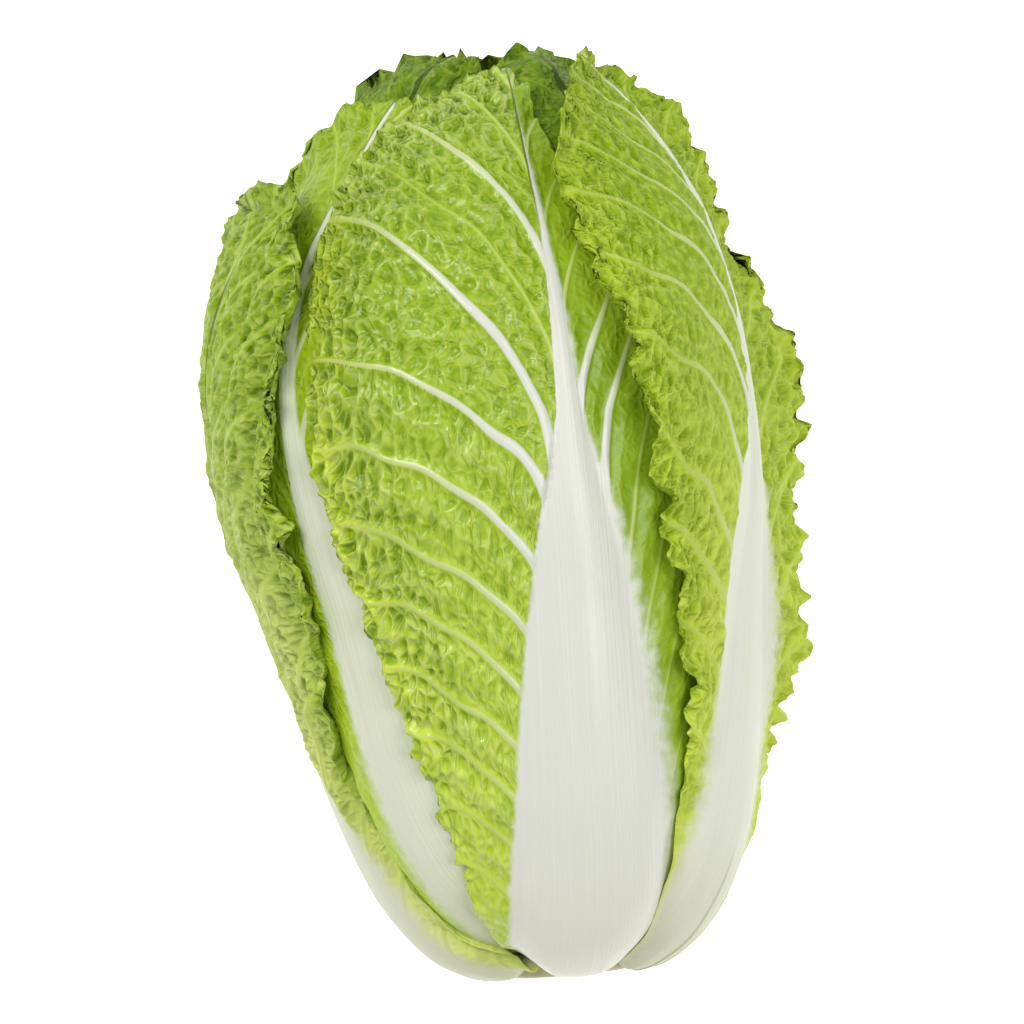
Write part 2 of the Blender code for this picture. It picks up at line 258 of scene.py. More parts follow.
def new_piece(name, points, faces, finish):
    mesh = bpy.data.meshes.new(name)
    mesh.from_pydata([tuple(point) for point in points.tolist()], [], faces)
    mesh.shade_smooth()
    mesh.materials.append(finish)
    made = bpy.data.objects.new(name, mesh)
    bpy.context.scene.collection.objects.link(made)
    return made


# The rings on the cut face, from its rim in: shares of its radius, and how far each is sunk.
CUT_RINGS = ((0.96, 0.0), (0.80, 0.12), (0.60, 0.20), (0.40, 0.25), (0.20, 0.28))
CUT_MIDDLE_SUNK = 0.3
CUT_UNEVEN = 0.25
RIM_ROUNDING = 0.8


def turned_stem(segments=96):
    """Rings from the middle of the cut face out over its rim and up the cone, then closed."""
    bearings = np.linspace(0.0, 2 * np.pi, segments, endpoint=False)
    foot = np.zeros(segments)
    rings = []
    for depth in np.linspace(0.0, STEM_DEPTH, 12):
        ring = place(bearings, foot, foot + depth)
        middle = ring.mean(axis=0)
        radius = line_radius(0.0) * (1 - depth / HEAD_RADIUS)
        rings.append(middle + (ring - middle) * (1 - STEM_GAP / radius))
    face_y = (STEM_FACE + FOOT_Y) * MM
    rim = rings[0].copy()
    rim[:, 1] = face_y
    middle = rim.mean(axis=0)
    rings[0][:, 1] = face_y + RIM_ROUNDING * MM
    uneven = CUT_UNEVEN * MM * np.sin(3 * bearings)
    for share, hollow_shade in CUT_RINGS:
        ring = middle + (rim - middle) * share
        ring[:, 1] += hollow_shade * MM + uneven * share * (1 - share)
        rings.insert(0, ring)
    pith = middle + [0, CUT_MIDDLE_SUNK * MM, 0]
    points = np.concatenate([pith[None], *rings, rings[-1].mean(0)[None]])
    faces = []
    for column in range(segments):
        after = (column + 1) % segments
        faces.append((0, 1 + column, 1 + after))
        for row in range(len(rings) - 1):
            a, b = 1 + row * segments + column, 1 + row * segments + after
            faces.append((a, a + segments, b + segments, b))
        last = 1 + (len(rings) - 1) * segments
        faces.append((last + column, len(points) - 1, last + after))
    radius = np.linalg.norm((rim - middle), axis=1).mean()
    offset = np.linalg.norm((points - middle)[:, [0, 2]], axis=1) / radius
    return points, faces, offset


stem_points, stem_faces, stem_offsets = turned_stem()
stem = new_piece("cut_stem", stem_points, stem_faces, cut_stem_finish())
write_values(stem.data, from_middle=stem_offsets)
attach(stem, "root")
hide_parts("stem")


# ------------------------------------------------------------
# The strand ends. Where the stem was cut, the strands that fed the leaves show as a spiral
# of small pale dots. Each is a low bead of firmer tissue, just proud of the softer core.
# ------------------------------------------------------------
def input_of(tree, name, kind, value=None, in_out="INPUT"):
    socket = tree.interface.new_socket(name=name, in_out=in_out, socket_type=kind)
    if value is not None:
        socket.default_value = value
    return socket


def applied(piece, tree, **values):
    """Runs a surface tree on a piece with these inputs, and leaves it a plain mesh."""
    modifier = piece.modifiers.new("surface", "NODES")
    modifier.node_group = tree
    for item in tree.interface.items_tree:
        key = item.name.lower().replace(" ", "_")
        if item.in_out == "INPUT" and key in values:
            modifier[item.identifier] = values[key]
    graph = bpy.context.evaluated_depsgraph_get()
    finished = bpy.data.meshes.new_from_object(piece.evaluated_get(graph))
    piece.modifiers.remove(modifier)
    piece.data = finished
    return piece


SPIRAL_TURN = 2.39996
BEAD_FLATNESS = 0.35


def strand_tree():
    """Flattened beads on a spiral that runs out from the middle of a face."""
    tree = bpy.data.node_groups.new("strand ends", "GeometryNodeTree")
    input_of(tree, "Geometry", "NodeSocketGeometry", in_out="OUTPUT")
    input_of(tree, "Beads", "NodeSocketInt", 56)
    input_of(tree, "Ring radius", "NodeSocketFloat", 0.012)
    input_of(tree, "Bead size", "NodeSocketFloat", 0.0007)
    input_of(tree, "Seed", "NodeSocketInt", 4)
    input_of(tree, "Finish", "NodeSocketMaterial")
    wires = Wiring(tree)
    start = tree.nodes.new("NodeGroupInput").outputs
    ring = wires.add("GeometryNodeMeshLine", {"Count": start["Beads"], "Offset": (0, 0, 0)})
    index = wires.add("GeometryNodeInputIndex")
    jitter = wires.add("FunctionNodeRandomValue", {"ID": index, "Seed": start["Seed"]}, out=1)
    turn = wires.times(index, SPIRAL_TURN)
    share = wires.math("SQRT", wires.math("DIVIDE", index, start["Beads"]))
    share = wires.sum(0.22, wires.times(share, 0.62), wires.times(jitter, 0.14))
    reach = wires.times(start["Ring radius"], share)
    x = wires.times(reach, wires.math("COSINE", turn))
    z = wires.times(reach, wires.math("SINE", turn))
    placed = wires.add(
        "GeometryNodeSetPosition", {"Geometry": ring, "Position": wires.point(x, 0.0, z)}
    )
    bead = wires.add("GeometryNodeMeshUVSphere", {"Segments": 8, "Rings": 5, "Radius": 1.0})
    wide = wires.times(start["Bead size"], wires.sum(0.6, jitter))
    size = wires.point(wide, wires.times(wide, BEAD_FLATNESS), wide)
    beads = wires.add(
        "GeometryNodeInstanceOnPoints", {"Points": placed, "Instance": bead, "Scale": size}
    )
    real = wires.add("GeometryNodeRealizeInstances", {"Geometry": beads})
    smooth = wires.add("GeometryNodeSetShadeSmooth", {"Geometry": real})
    painted = wires.add(
        "GeometryNodeSetMaterial", {"Geometry": smooth, "Material": start["Finish"]}
    )
    tree.links.new(painted, tree.nodes.new("NodeGroupOutput").inputs[0])
    return tree


def strand_finish():
    made, wires, shader = finish_of("strand_end", roughness=0.45, flesh=0.1)
    spot = wires.add("ShaderNodeTexCoord", out=3)
    speck = wires.noise(spot, scale=900.0, detail=2.0)
    colour = wires.mix(speck, paint(238, 236, 216), paint(206, 200, 158))
    connect(wires, shader, base_color=colour)
    return made


strand_paint = strand_finish()
strands = new_piece("strand_ends", np.zeros((0, 3)), [], strand_paint)
stem_radius = line_radius(0.0) - STEM_GAP
applied(
    strands, strand_tree(), beads=56, ring_radius=stem_radius * MM, bead_size=0.75 * MM, seed=4,
    finish=strand_paint,
)
strands.data.transform(Matrix.Translation(tuple(stem_points[0] - [0.0, 0.05 * MM, 0.0])))
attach(strands, "root")


# ------------------------------------------------------------
# The right leaf. The outermost leaf: a stout white midrib down the head's right side, and a
# matt green blade that folds over the front, its margin lifted off the head in a frill.
# Leaves are laid from the outside in, each just under the ones before it, as they grow.
# ------------------------------------------------------------
BLADE_THICKNESS = 1.2
THIN_MARGIN = 0.45
MARGIN_BEVEL = 6.0
RIB_HALF_WIDTH = 28.0
THINNEST_RIB_HALF_WIDTH = 3.0
RIB_BULGE = 9.0
RIB_SHARE_OUTWARD = 0.55
# A midrib's half width and bulge along the leaf, as shares of RIB_HALF_WIDTH and RIB_BULGE.
RIB_STATIONS = (0.0, 0.15, 0.30, 0.42, 0.52, 0.66, 0.95)
RIB_WIDTHS = (0.86, 1.0, 0.79, 0.54, 0.27, 0.15, 0.05)
RIB_BULGES = (0.9, 1.0, 0.8, 0.6, 0.4, 0.25, 0.08)
RIB_SHARE_OF_BLADE = 0.92
# How far the midrib's white reaches, as shares of RIB_HALF_WIDTH. It takes in the feet of the
# side veins, so it is broader than the raised rib halfway up, and narrower near the tip.
WHITE_STATIONS = (0.0, 0.15, 0.30, 0.37, 0.48, 0.57, 0.66, 0.73, 0.86, 0.95)
WHITE_WIDTHS = (0.92, 0.97, 0.76, 0.64, 0.44, 0.17, 0.13, 0.06, 0.035, 0.02)
WHITE_SHARE_OF_BLADE = 0.86
FAINTEST_WHITE = 0.6
# The white's edge is soft at the foot and crisp higher up. The side veins start inside it.
FADE_STATIONS = (0.0, 0.30, 0.45, 0.60, 1.0)
FADE_SHARES = (1.6, 1.1, 0.7, 0.22, 0.15)
VEINS_FROM_WHITE = 0.85
MARGIN_WAVES = 3.5
MARGIN_WAVE_SHARE = 0.35
TIP_ROUNDING = 0.22
TABLE_PRESS = 2.5
TABLE_REACH = 9.0
BEARINGS = 180
STATIONS = 120
WRAPPER_REACH = (3, 3)
INNER_REACH = (4, 3)
COVER_PER_CELL = 1.25
VEIN_SWEEP = 0.65
VEIN_SWAY = 1.6
VEIN_SWAY_LENGTH = 34.0
VEIN_TAPER = 1.1
THINNEST_VEIN = 0.2
RUNG_SPACING = 0.72
# The right half's veins and crinkles are numbered on from the left half's, to differ from them.
RIGHT_VEIN_NUMBER = 40.0
RIGHT_CRINKLES_ON = 400.0

# Bearings are in degrees: 0 is the top of the head as it lies, +90 its right side. midrib is a
# bearing, left and right are how far the blade reaches to each side of it, and the flares lift
# its margins and its tip off the head, in millimetres. Each of those lists holds a value for
# the leaf's foot, quarter, middle, three quarters and tip. gap is the air under the leaf.
Leaf = namedtuple(
    "Leaf", "name midrib left right tip gap flare_left flare_right tip_lift rib reach",
    defaults=(1.7, (0,) * 5, (0,) * 5, 0.0, 1.0, WRAPPER_REACH),
)
# Each side vein leaves the midrib at a height above the butt, sweeps up and out by a curve,
# and has a half width where it leaves. All are in millimetres.
Veins = namedtuple("Veins", "heights curves halves")
# lobes and teeth shape the margin: how deep and how far apart, in millimetres. edge_fade is
# how far the rib's white runs out into the green, on the left and on the right. Below the
# share smooth_foot the margin is smooth. rungs counts the lowest side veins, on the left and
# on the right, that the crinkles run between in rungs, and crumple is how deep the crinkles
# are there, on the left and on the right; where it is low, the blade is also darkened with
# painted shadow. The last four are lists of five, like a leaf's: the rib's white as a share of
# the breadth above, and how far the margins are tucked in to rest on the leaf below, in
# millimetres.
Growth = namedtuple(
    "Growth",
    "rows columns lobes teeth edge_fade left_veins right_veins seed smooth_foot rungs crumple "
    "white_left white_right tuck_left tuck_right",
    defaults=(0.30, (0, 0), (1.0, 1.0), (1,) * 5, (1,) * 5, (0,) * 5, (0,) * 5),
)


def along_leaf(values, share):
    """The value of one of a leaf's lists of five, at a share of its length."""
    return curve_through(values, np.clip(share, 0.0, 1.0) * (len(values) - 1))


def depth_steps():
    """How much depth one millimetre takes up, measured square to the outline."""
    along = np.gradient(LINE, axis=0)
    square = np.stack([-along[:, 1], along[:, 0]], axis=1)
    square /= np.linalg.norm(square, axis=1)[:, None]
    y, radius = LINE[:, 0], LINE[:, 1]
    moved = np.stack([lengthwise_shrink(y) * (y - CENTRE_Y), radius], axis=1) / HEAD_RADIUS
    return 1.0 / np.abs((moved * square).sum(axis=1))


DEPTH_STEPS = depth_steps()


def depth_per_mm(station):
    return np.interp(station, LINE_STATIONS, DEPTH_STEPS)


def rib_size(leaf, station):
    """A midrib's half width in millimetres, the same as an angle, and its bulge."""
    width = leaf.rib * RIB_HALF_WIDTH * np.interp(station, RIB_STATIONS, RIB_WIDTHS)
    width = np.maximum(width, THINNEST_RIB_HALF_WIDTH)
    bulge = leaf.rib * RIB_BULGE * np.interp(station, RIB_STATIONS, RIB_BULGES)
    return width, width / line_radius(station), bulge


def white_half_width(leaf, station):
    """How far a midrib's white reaches to each side, in millimetres."""
    return leaf.rib * RIB_HALF_WIDTH * np.interp(station, WHITE_STATIONS, WHITE_WIDTHS)


def half_angles(leaf, share):
    """The bearing of the midrib and the unrounded reach to each side of it, in radians."""
    lists = (leaf.midrib, leaf.left, leaf.right)
    return [np.radians(along_leaf(values, share)) for values in lists]


def tip_rounding(share):
    into_tip = np.clip((share - 1.0 + TIP_ROUNDING) / TIP_ROUNDING, 0.0, 0.985)
    return np.sqrt(1.0 - into_tip**2)


def turned_from(midrib, bearing):
    return (bearing - midrib + np.pi) % (2 * np.pi) - np.pi


def flare(leaf, across, share):
    """How far a leaf lifts off the head, in millimetres. across runs from -1 to 1."""
    sides = (along_leaf(leaf.flare_left, share), along_leaf(leaf.flare_right, share))
    waves = 1.0 + MARGIN_WAVE_SHARE * np.sin(2 * np.pi * MARGIN_WAVES * share)
    margin = np.where(across < 0, *sides) * waves * smooth_step((np.abs(across) - 0.35) / 0.65)
    return margin + leaf.tip_lift * smooth_step((share - 0.7) / 0.3)


def neighbours(field, bearings, stations):
    """The field moved by each step within reach. Bearings wrap round, stations end."""
    padded = np.pad(field, ((0, 0), (stations, stations)), mode="edge")
    count = field.shape[1]
    moved = []
    for turn in range(-bearings, bearings + 1):
        rolled = np.roll(padded, turn, axis=0)
        moved += [rolled[:, step : step + count] for step in range(2 * stations + 1)]
    return moved


def sampled(field, bearing, station):
    """A grid field's value between its cells, on a surface with no creases in it."""
    row = (bearing / (2 * np.pi) + 0.5) % 1.0 * BEARINGS
    column = np.clip(station, 0.0, 1.0) * (STATIONS - 1)
    rows, columns = np.floor(row).astype(int), np.floor(column).astype(int)
    total = np.zeros(np.broadcast(row, column).shape)
    for row_step, row_weight in enumerate(blending_weights(row - rows), start=-1):
        for column_step, weight in enumerate(blending_weights(column - columns), start=-1):
            at = (rows + row_step) % BEARINGS, np.clip(columns + column_step, 0, STATIONS - 1)
            total += row_weight * weight * field[at]
    return total


def blending_weights(f):
    parts = ((1 - f) ** 3, 3 * f**3 - 6 * f**2 + 4, -3 * f**3 + 3 * f**2 + 3 * f + 1, f**3)
    return [part / 6.0 for part in parts]


GRID = np.meshgrid(
    np.linspace(-np.pi, np.pi, BEARINGS, endpoint=False),
    np.linspace(0.0, 1.0, STATIONS),
    indexing="ij",
)


def rib_rise(leaf, station, bearing):
    """How thick a midrib is at a bearing. It thins away to nothing before the margins."""
    share = station / leaf.tip
    midrib, left, right = half_angles(leaf, share)
    angle = turned_from(midrib, bearing)
    _, full_width, bulge = rib_size(leaf, station)
    reach = RIB_SHARE_OF_BLADE * tip_rounding(share) * np.where(angle < 0, left, right)
    half_width = np.minimum(full_width, reach)
    round_top = np.clip(1.0 - (angle / half_width) ** 2, 0.0, 1.0) ** 1.5
    return bulge * np.sqrt(half_width / full_width) * round_top


def laid_under(leaf, free_from):
    """The depth of a leaf's blade over the whole grid, just below the leaves outside it."""
    bearing, station = GRID
    outward = RIB_SHARE_OUTWARD * rib_rise(leaf, station, bearing)
    needed = free_from + outward * depth_per_mm(station)
    widest = np.max(neighbours(needed, *leaf.reach), axis=0)
    return np.mean(neighbours(widest, *leaf.reach), axis=0)


def taken_by(leaf, blade, free_from):
    """Where the next leaf may start, once this one is laid."""
    bearing, station = GRID
    share = station / leaf.tip
    midrib, left, right = half_angles(leaf, share)
    angle = turned_from(midrib, bearing)
    rounding, margin = tip_rounding(share), np.radians(COVER_PER_CELL * leaf.reach[0])
    covered = (angle > -left * rounding - margin) & (angle < right * rounding + margin)
    covered &= station < leaf.tip + 0.02
    thick = BLADE_THICKNESS + (1 - RIB_SHARE_OUTWARD) * rib_rise(leaf, station, bearing)
    under = blade + thick * depth_per_mm(station) + leaf.gap
    return np.where(covered, np.maximum(free_from, under), free_from)


def wander(where, length, seed):
    """An uneven wave between about -1 and 1, with bumps about one length apart."""
    phases = np.random.default_rng(seed).uniform(0.0, 2 * np.pi, 4)
    parts = [
        np.sin(2 * np.pi * where * rate / length + phase)
        for rate, phase in zip((0.61, 0.87, 1.13, 1.49), phases)
    ]
    return sum(parts) / 2.4


def vein_field(veins, out, up, reach, seed):
    """Where points lie among the side veins of one half of a leaf.

    out and up are millimetres from the midrib and from the butt. Gives the vein number, which
    is whole on a vein, the millimetres between veins, the nearest vein's half width, how far
    along its vein a point is, and the height at which that vein leaves the midrib.
    """
    starts = np.array(veins.heights, float)
    starts = np.interp(starts, LINE[20:, 0], LINE_STATIONS[20:]) * LINE_LENGTH
    curves = np.array(veins.curves, float)
    rise = out**VEIN_SWEEP * (1.0 - 0.10 * np.minimum(out / 60.0, 1.3) ** 2)
    lines = starts + curves * rise[..., None]
    for number in range(len(starts)):
        sway = wander(out, VEIN_SWAY_LENGTH, seed + number) * VEIN_SWAY
        sway = sway * smooth_step(out / 25.0)
        lines[..., number] += sway
    lower = np.clip((lines <= up[..., None]).sum(axis=-1) - 1, 0, len(starts) - 2)
    picked = [
        np.take_along_axis(lines, (lower + step)[..., None], axis=-1)[..., 0] for step in (0, 1)
    ]
    spacing = np.maximum(picked[1] - picked[0], 2.0)
    share = (up - picked[0]) / spacing
    number = lower + share
    curve = curves[lower] + (curves[lower + 1] - curves[lower]) * np.clip(share, 0.0, 1.0)
    slope = curve * VEIN_SWEEP * np.maximum(out, 1.0) ** (VEIN_SWEEP - 1.0)
    between = spacing / np.sqrt(1.0 + slope**2)
    nearest = np.clip(np.round(number).astype(int), 0, len(starts) - 1)
    taper = np.clip(1.0 - out / np.maximum(reach, 10.0), 0.0, 1.0) ** VEIN_TAPER
    taper = THINNEST_VEIN + (1 - THINNEST_VEIN) * taper
    half = np.array(veins.halves, float)[nearest] * taper
    start = starts[lower] + (starts[lower + 1] - starts[lower]) * share
    along = np.sqrt(out**2 + (up - start) ** 2)
    return number, between, half, along, start


# A leaf's rows of points lie nearly evenly, or closer at the tip where few are to be had.
EVEN_ROWS = 0.92
ROWS_AT_TIP = 0.6
FEWEST_EVEN_ROWS = 150


def leaf_grid(leaf, growth):
    """The bearing and station of each point of a leaf, and where the point lies on it."""
    turn = np.linspace(-np.pi / 2, np.pi / 2, growth.columns)[None, :]
    crowding = EVEN_ROWS if growth.rows > FEWEST_EVEN_ROWS else ROWS_AT_TIP
    rise = np.linspace(0.0, 1.0, growth.rows)[:, None] ** crowding
    turn, rise = np.broadcast_arrays(turn, rise)
    even = turn / (np.pi / 2)
    out = (1 - rise**4) * even + rise**4 * np.sin(turn)
    share = rise * (1 - TIP_ROUNDING + TIP_ROUNDING * np.cos(turn))
    midrib, left, right = half_angles(leaf, share)
    reach = np.where(out < 0, left, right)
    up = leaf.tip * share * LINE_LENGTH
    top = leaf.tip * LINE_LENGTH
    # The run along the margin, from the foot up the left side and down the right one.
    half = 0.6 * HEAD_RADIUS * reach
    from_foot = up + (1 - np.abs(even)) * half * rise**3
    edge = np.where(even < 0, from_foot, 2 * top + 1.2 * half - from_foot)
    # Lobes and teeth cut the margin back, at the sides and round the tip.
    lobe_depth, lobe_length = growth.lobes
    tooth_depth, tooth_length = growth.teeth
    cut = lobe_depth * (0.5 + 0.5 * wander(edge, lobe_length, growth.seed))
    cut = cut + tooth_depth * (0.5 + 0.5 * wander(edge, tooth_length, growth.seed + 1))
    at_side, at_top = np.abs(even) ** 7, rise**22
    fade = smooth_step((share - growth.smooth_foot) / 0.15)
    radius = np.maximum(line_radius(leaf.tip * share), 20.0)
    inward = cut * at_side * fade / radius
    out_angle = out * reach - np.sign(even) * inward
    share = share * (1 - cut * at_top * (1 - at_side) / top)
    bearing = midrib + out_angle
    to_side = (1 - np.abs(out)) * reach * radius
    to_top = (1 - rise) * top * (1 - TIP_ROUNDING * (1 - np.cos(turn)))
    margin = np.minimum(to_side, to_top)
    return bearing, leaf.tip * share, out, share, out_angle, edge, margin


def leaf_faces(leaf, growth, blade, free_from):
    """The points of a leaf's two faces, and the values that its surface and finish read."""
    bearing, station, out, share, angle, edge, margin = leaf_grid(leaf, growth)
    across = np.clip(out / tip_rounding(share), -1.0, 1.0)
    bump = rib_rise(leaf, station, bearing)
    open_air = sampled(np.exp(-free_from), bearing, station)
    left = angle < 0
    tucks = (along_leaf(growth.tuck_left, share), along_leaf(growth.tuck_right, share))
    tuck = np.where(left, *tucks) * smooth_step((np.abs(across) - 0.45) / 0.5)
    lift = open_air * flare(leaf, across, share) - tuck
    step = depth_per_mm(station)
    middle = sampled(blade, bearing, station) - lift * step
    thick = THIN_MARGIN + (BLADE_THICKNESS - THIN_MARGIN) * smooth_step(margin / MARGIN_BEVEL)
    outer = middle - RIB_SHARE_OUTWARD * bump * step
    inner = middle + (thick + (1 - RIB_SHARE_OUTWARD) * bump) * step
    outer_points = settled(place(bearing, station, outer), open_air)
    inner_points = place(bearing, station, inner)
    outward = place(bearing, station, outer - 1.0) - place(bearing, station, outer + 1.0)
    outward /= np.maximum(np.linalg.norm(outward, axis=-1), 1e-9)[..., None]
    radius = line_radius(station) * (1 - np.clip(middle, 0, 60) / HEAD_RADIUS)
    from_rib = np.abs(angle) * radius
    up = station * LINE_LENGTH
    side_reach = np.where(left, *half_angles(leaf, share)[1:]) * radius
    whites = (along_leaf(growth.white_left, share), along_leaf(growth.white_right, share))
    white = white_half_width(leaf, station) * np.where(left, *whites)
    white = np.minimum(white, WHITE_SHARE_OF_BLADE * side_reach)
    past_white = np.maximum(from_rib - VEINS_FROM_WHITE * white, 0.0)
    fields = [
        vein_field(veins, past_white, up, np.maximum(reach * radius, 15.0), growth.seed + 7 * k)
        for k, (veins, reach) in enumerate(
            zip((growth.left_veins, growth.right_veins), half_angles(leaf, share)[1:])
        )
    ]
    number, between, half, along, start = [np.where(left, a, b) for a, b in zip(*fields)]
    fade = np.where(left, *growth.edge_fade) * np.interp(share, FADE_STATIONS, FADE_SHARES)
    rungs = np.where(left, *growth.rungs)
    in_rungs = (rungs > 0) & (number < rungs)
    on_right = np.where(left, 0.0, RIGHT_CRINKLES_ON)
    values = {
        "across_rib": np.sign(angle) * from_rib,
        "up_leaf": up,
        "leaf_share": share,
        "past_rib": (from_rib - white) / fade + 0.9 * (1 - np.minimum(white / FAINTEST_WHITE, 1)),
        "vein_number": number + np.where(left, 0.0, RIGHT_VEIN_NUMBER),
        "vein_gap": between,
        "vein_half": half,
        "cell_out": np.where(in_rungs, along, from_rib),
        "cell_up": np.where(in_rungs, start * RUNG_SPACING, up) + on_right,
        "crumple": np.where(left, *growth.crumple),
        "frilled": smooth_step((share - growth.smooth_foot) / 0.15),
        "edge_run": edge,
        "from_margin": margin,
        "in_open": open_air,
        "relief": (0.3 + 0.7 * open_air) * smooth_step((outer_points[..., 2] / MM - 0.5) / 7.0),
        "outward": outward,
    }
    return outer_points, inner_points, values


def settled(points, open_air):
    """The points lowered onto the table where they come near it with no leaf below them."""
    height = points[..., 2]
    near = 1.0 - smooth_step(height / (TABLE_REACH * MM))
    lowered = np.maximum(height - TABLE_PRESS * MM * open_air * near, 0.0)
    return np.concatenate([points[..., :2], lowered[..., None]], axis=-1)


def leaf_mesh(leaf, growth, blade, free_from):
    """A closed shell: a fine outer face, an inner face half as fine, and a thin margin."""
    outer, inner, values = leaf_faces(leaf, growth, blade, free_from)
    rows, columns = outer.shape[:2]
    fine = np.arange(rows * columns).reshape(rows, columns)
    coarse_rows, coarse_columns = (rows + 1) // 2, (columns + 1) // 2
    coarse = rows * columns + np.arange(coarse_rows * coarse_columns)
    coarse = coarse.reshape(coarse_rows, coarse_columns)
    points = np.concatenate([outer.reshape(-1, 3), inner[::2, ::2].reshape(-1, 3)])
    around_fine, around_coarse = rim_of(fine), rim_of(coarse)
    after_fine = np.roll(around_fine, -1)
    strip = [
        (around_fine[2 * k], around_coarse[k], np.roll(around_coarse, -1)[k],
         around_fine[(2 * k + 2) % len(around_fine)], after_fine[2 * k])
        for k in range(len(around_coarse))
    ]
    faces = cell_corners(fine).reshape(-1, 4).tolist()
    faces += cell_corners(coarse, turned=True).reshape(-1, 4).tolist()
    faces += [[int(corner) for corner in face] for face in strip]
    stored = {
        name: np.concatenate([part.reshape(rows * columns, -1).squeeze(),
                              part[::2, ::2].reshape(coarse.size, -1).squeeze()])
        for name, part in values.items()
    }
    stored["inner_face"] = np.repeat([0.0, 1.0], [rows * columns, coarse.size])
    maps = [grid_map(rows, columns, FRONT_ON_MAP),
            grid_map(coarse_rows, coarse_columns, BACK_ON_MAP, turned=True),
            strip_map(len(strip))]
    return points, faces, stored, np.concatenate(maps)


def rim_of(index):
    """The grid's border, in order, starting from its first corner."""
    return np.concatenate([index[0], index[1:, -1], index[-1, -2::-1], index[-2:0:-1, 0]])


def cell_corners(grid, turned=False):
    """The four corners of each cell of a grid, in order, or the other way round."""
    corners = [grid[:-1, :-1], grid[:-1, 1:], grid[1:, 1:], grid[1:, :-1]]
    return np.stack(corners[:1] + corners[:0:-1] if turned else corners, axis=2)


# Where a leaf's two faces and the strip between them lie across its flat map.
FRONT_ON_MAP = (0.004, 0.660)
STRIP_ON_MAP = (0.668, 0.682)
BACK_ON_MAP = (0.996, 0.690)
UP_THE_MAP = (0.004, 0.996)


def grid_map(rows, columns, across, turned=False):
    """Flat places for a grid's faces, corner by corner."""
    x, y = np.meshgrid(np.linspace(*across, columns), np.linspace(*UP_THE_MAP, rows))
    return cell_corners(np.stack([x, y], axis=-1), turned).reshape(-1, 2)


def strip_map(count):
    y = np.linspace(*UP_THE_MAP, count + 1)
    low, high = y[:-1], y[1:]
    left, right = (np.full(count, edge) for edge in STRIP_ON_MAP)
    corners = [(right, low), (left, low), (left, high), (right, high), (right, (low + high) / 2)]
    return np.stack([np.stack(corner, axis=-1) for corner in corners], axis=1).reshape(-1, 2)


# The crinkles are cells, in millimetres: how far their lines wander from straight, how wide
# and long the large ones are, and the sizes that turn a share of a cell into millimetres.
BEND = 5.0
CRINKLE_WIDTH = 5.6
CRINKLE_LENGTH = 8.6
CRINKLE_SIZE = 6.5
FINE_SIZE = 3.1


def leaf_lines(wires):
    """The millimetre distances that a leaf's veins and crinkles follow.

    Gives the distance from the nearest side vein, the same for the thinner veins halfway
    between them, and the distances from the edges of the large and the small crinkles.
    """
    number, gap = wires.read("vein_number"), wires.read("vein_gap")
    beside = wires.math("PINGPONG", number, 0.5)
    from_vein = wires.times(beside, gap)
    flat = wires.point(wires.read("cell_out"), wires.read("cell_up"))
    shift = wires.noise(flat, scale=0.11, detail=1.0, dimensions="2D", out=1)
    bent = wires.add(
        "ShaderNodeVectorMath",
        {0: shift, 1: (BEND, BEND, 0.0), 2: flat},
        operation="MULTIPLY_ADD",
    )
    sway = wires.noise(flat, scale=0.12, detail=1.0, dimensions="2D")
    halfway = wires.sum(number, wires.times(wires.sum(sway, -0.5), 0.45), 0.5)
    from_thin_vein = wires.times(wires.math("PINGPONG", halfway, 0.5), gap)
    wide = wires.add(
        "ShaderNodeVectorMath",
        {0: bent, 1: (1 / CRINKLE_WIDTH, 1 / CRINKLE_LENGTH, 1.0)},
        operation="MULTIPLY",
    )
    crinkle = wires.times(wires.cell_edge(wide), CRINKLE_SIZE)
    fine = wires.times(wires.cell_edge(bent, scale=1 / FINE_SIZE), FINE_SIZE)
    return from_vein, from_thin_vein, crinkle, fine


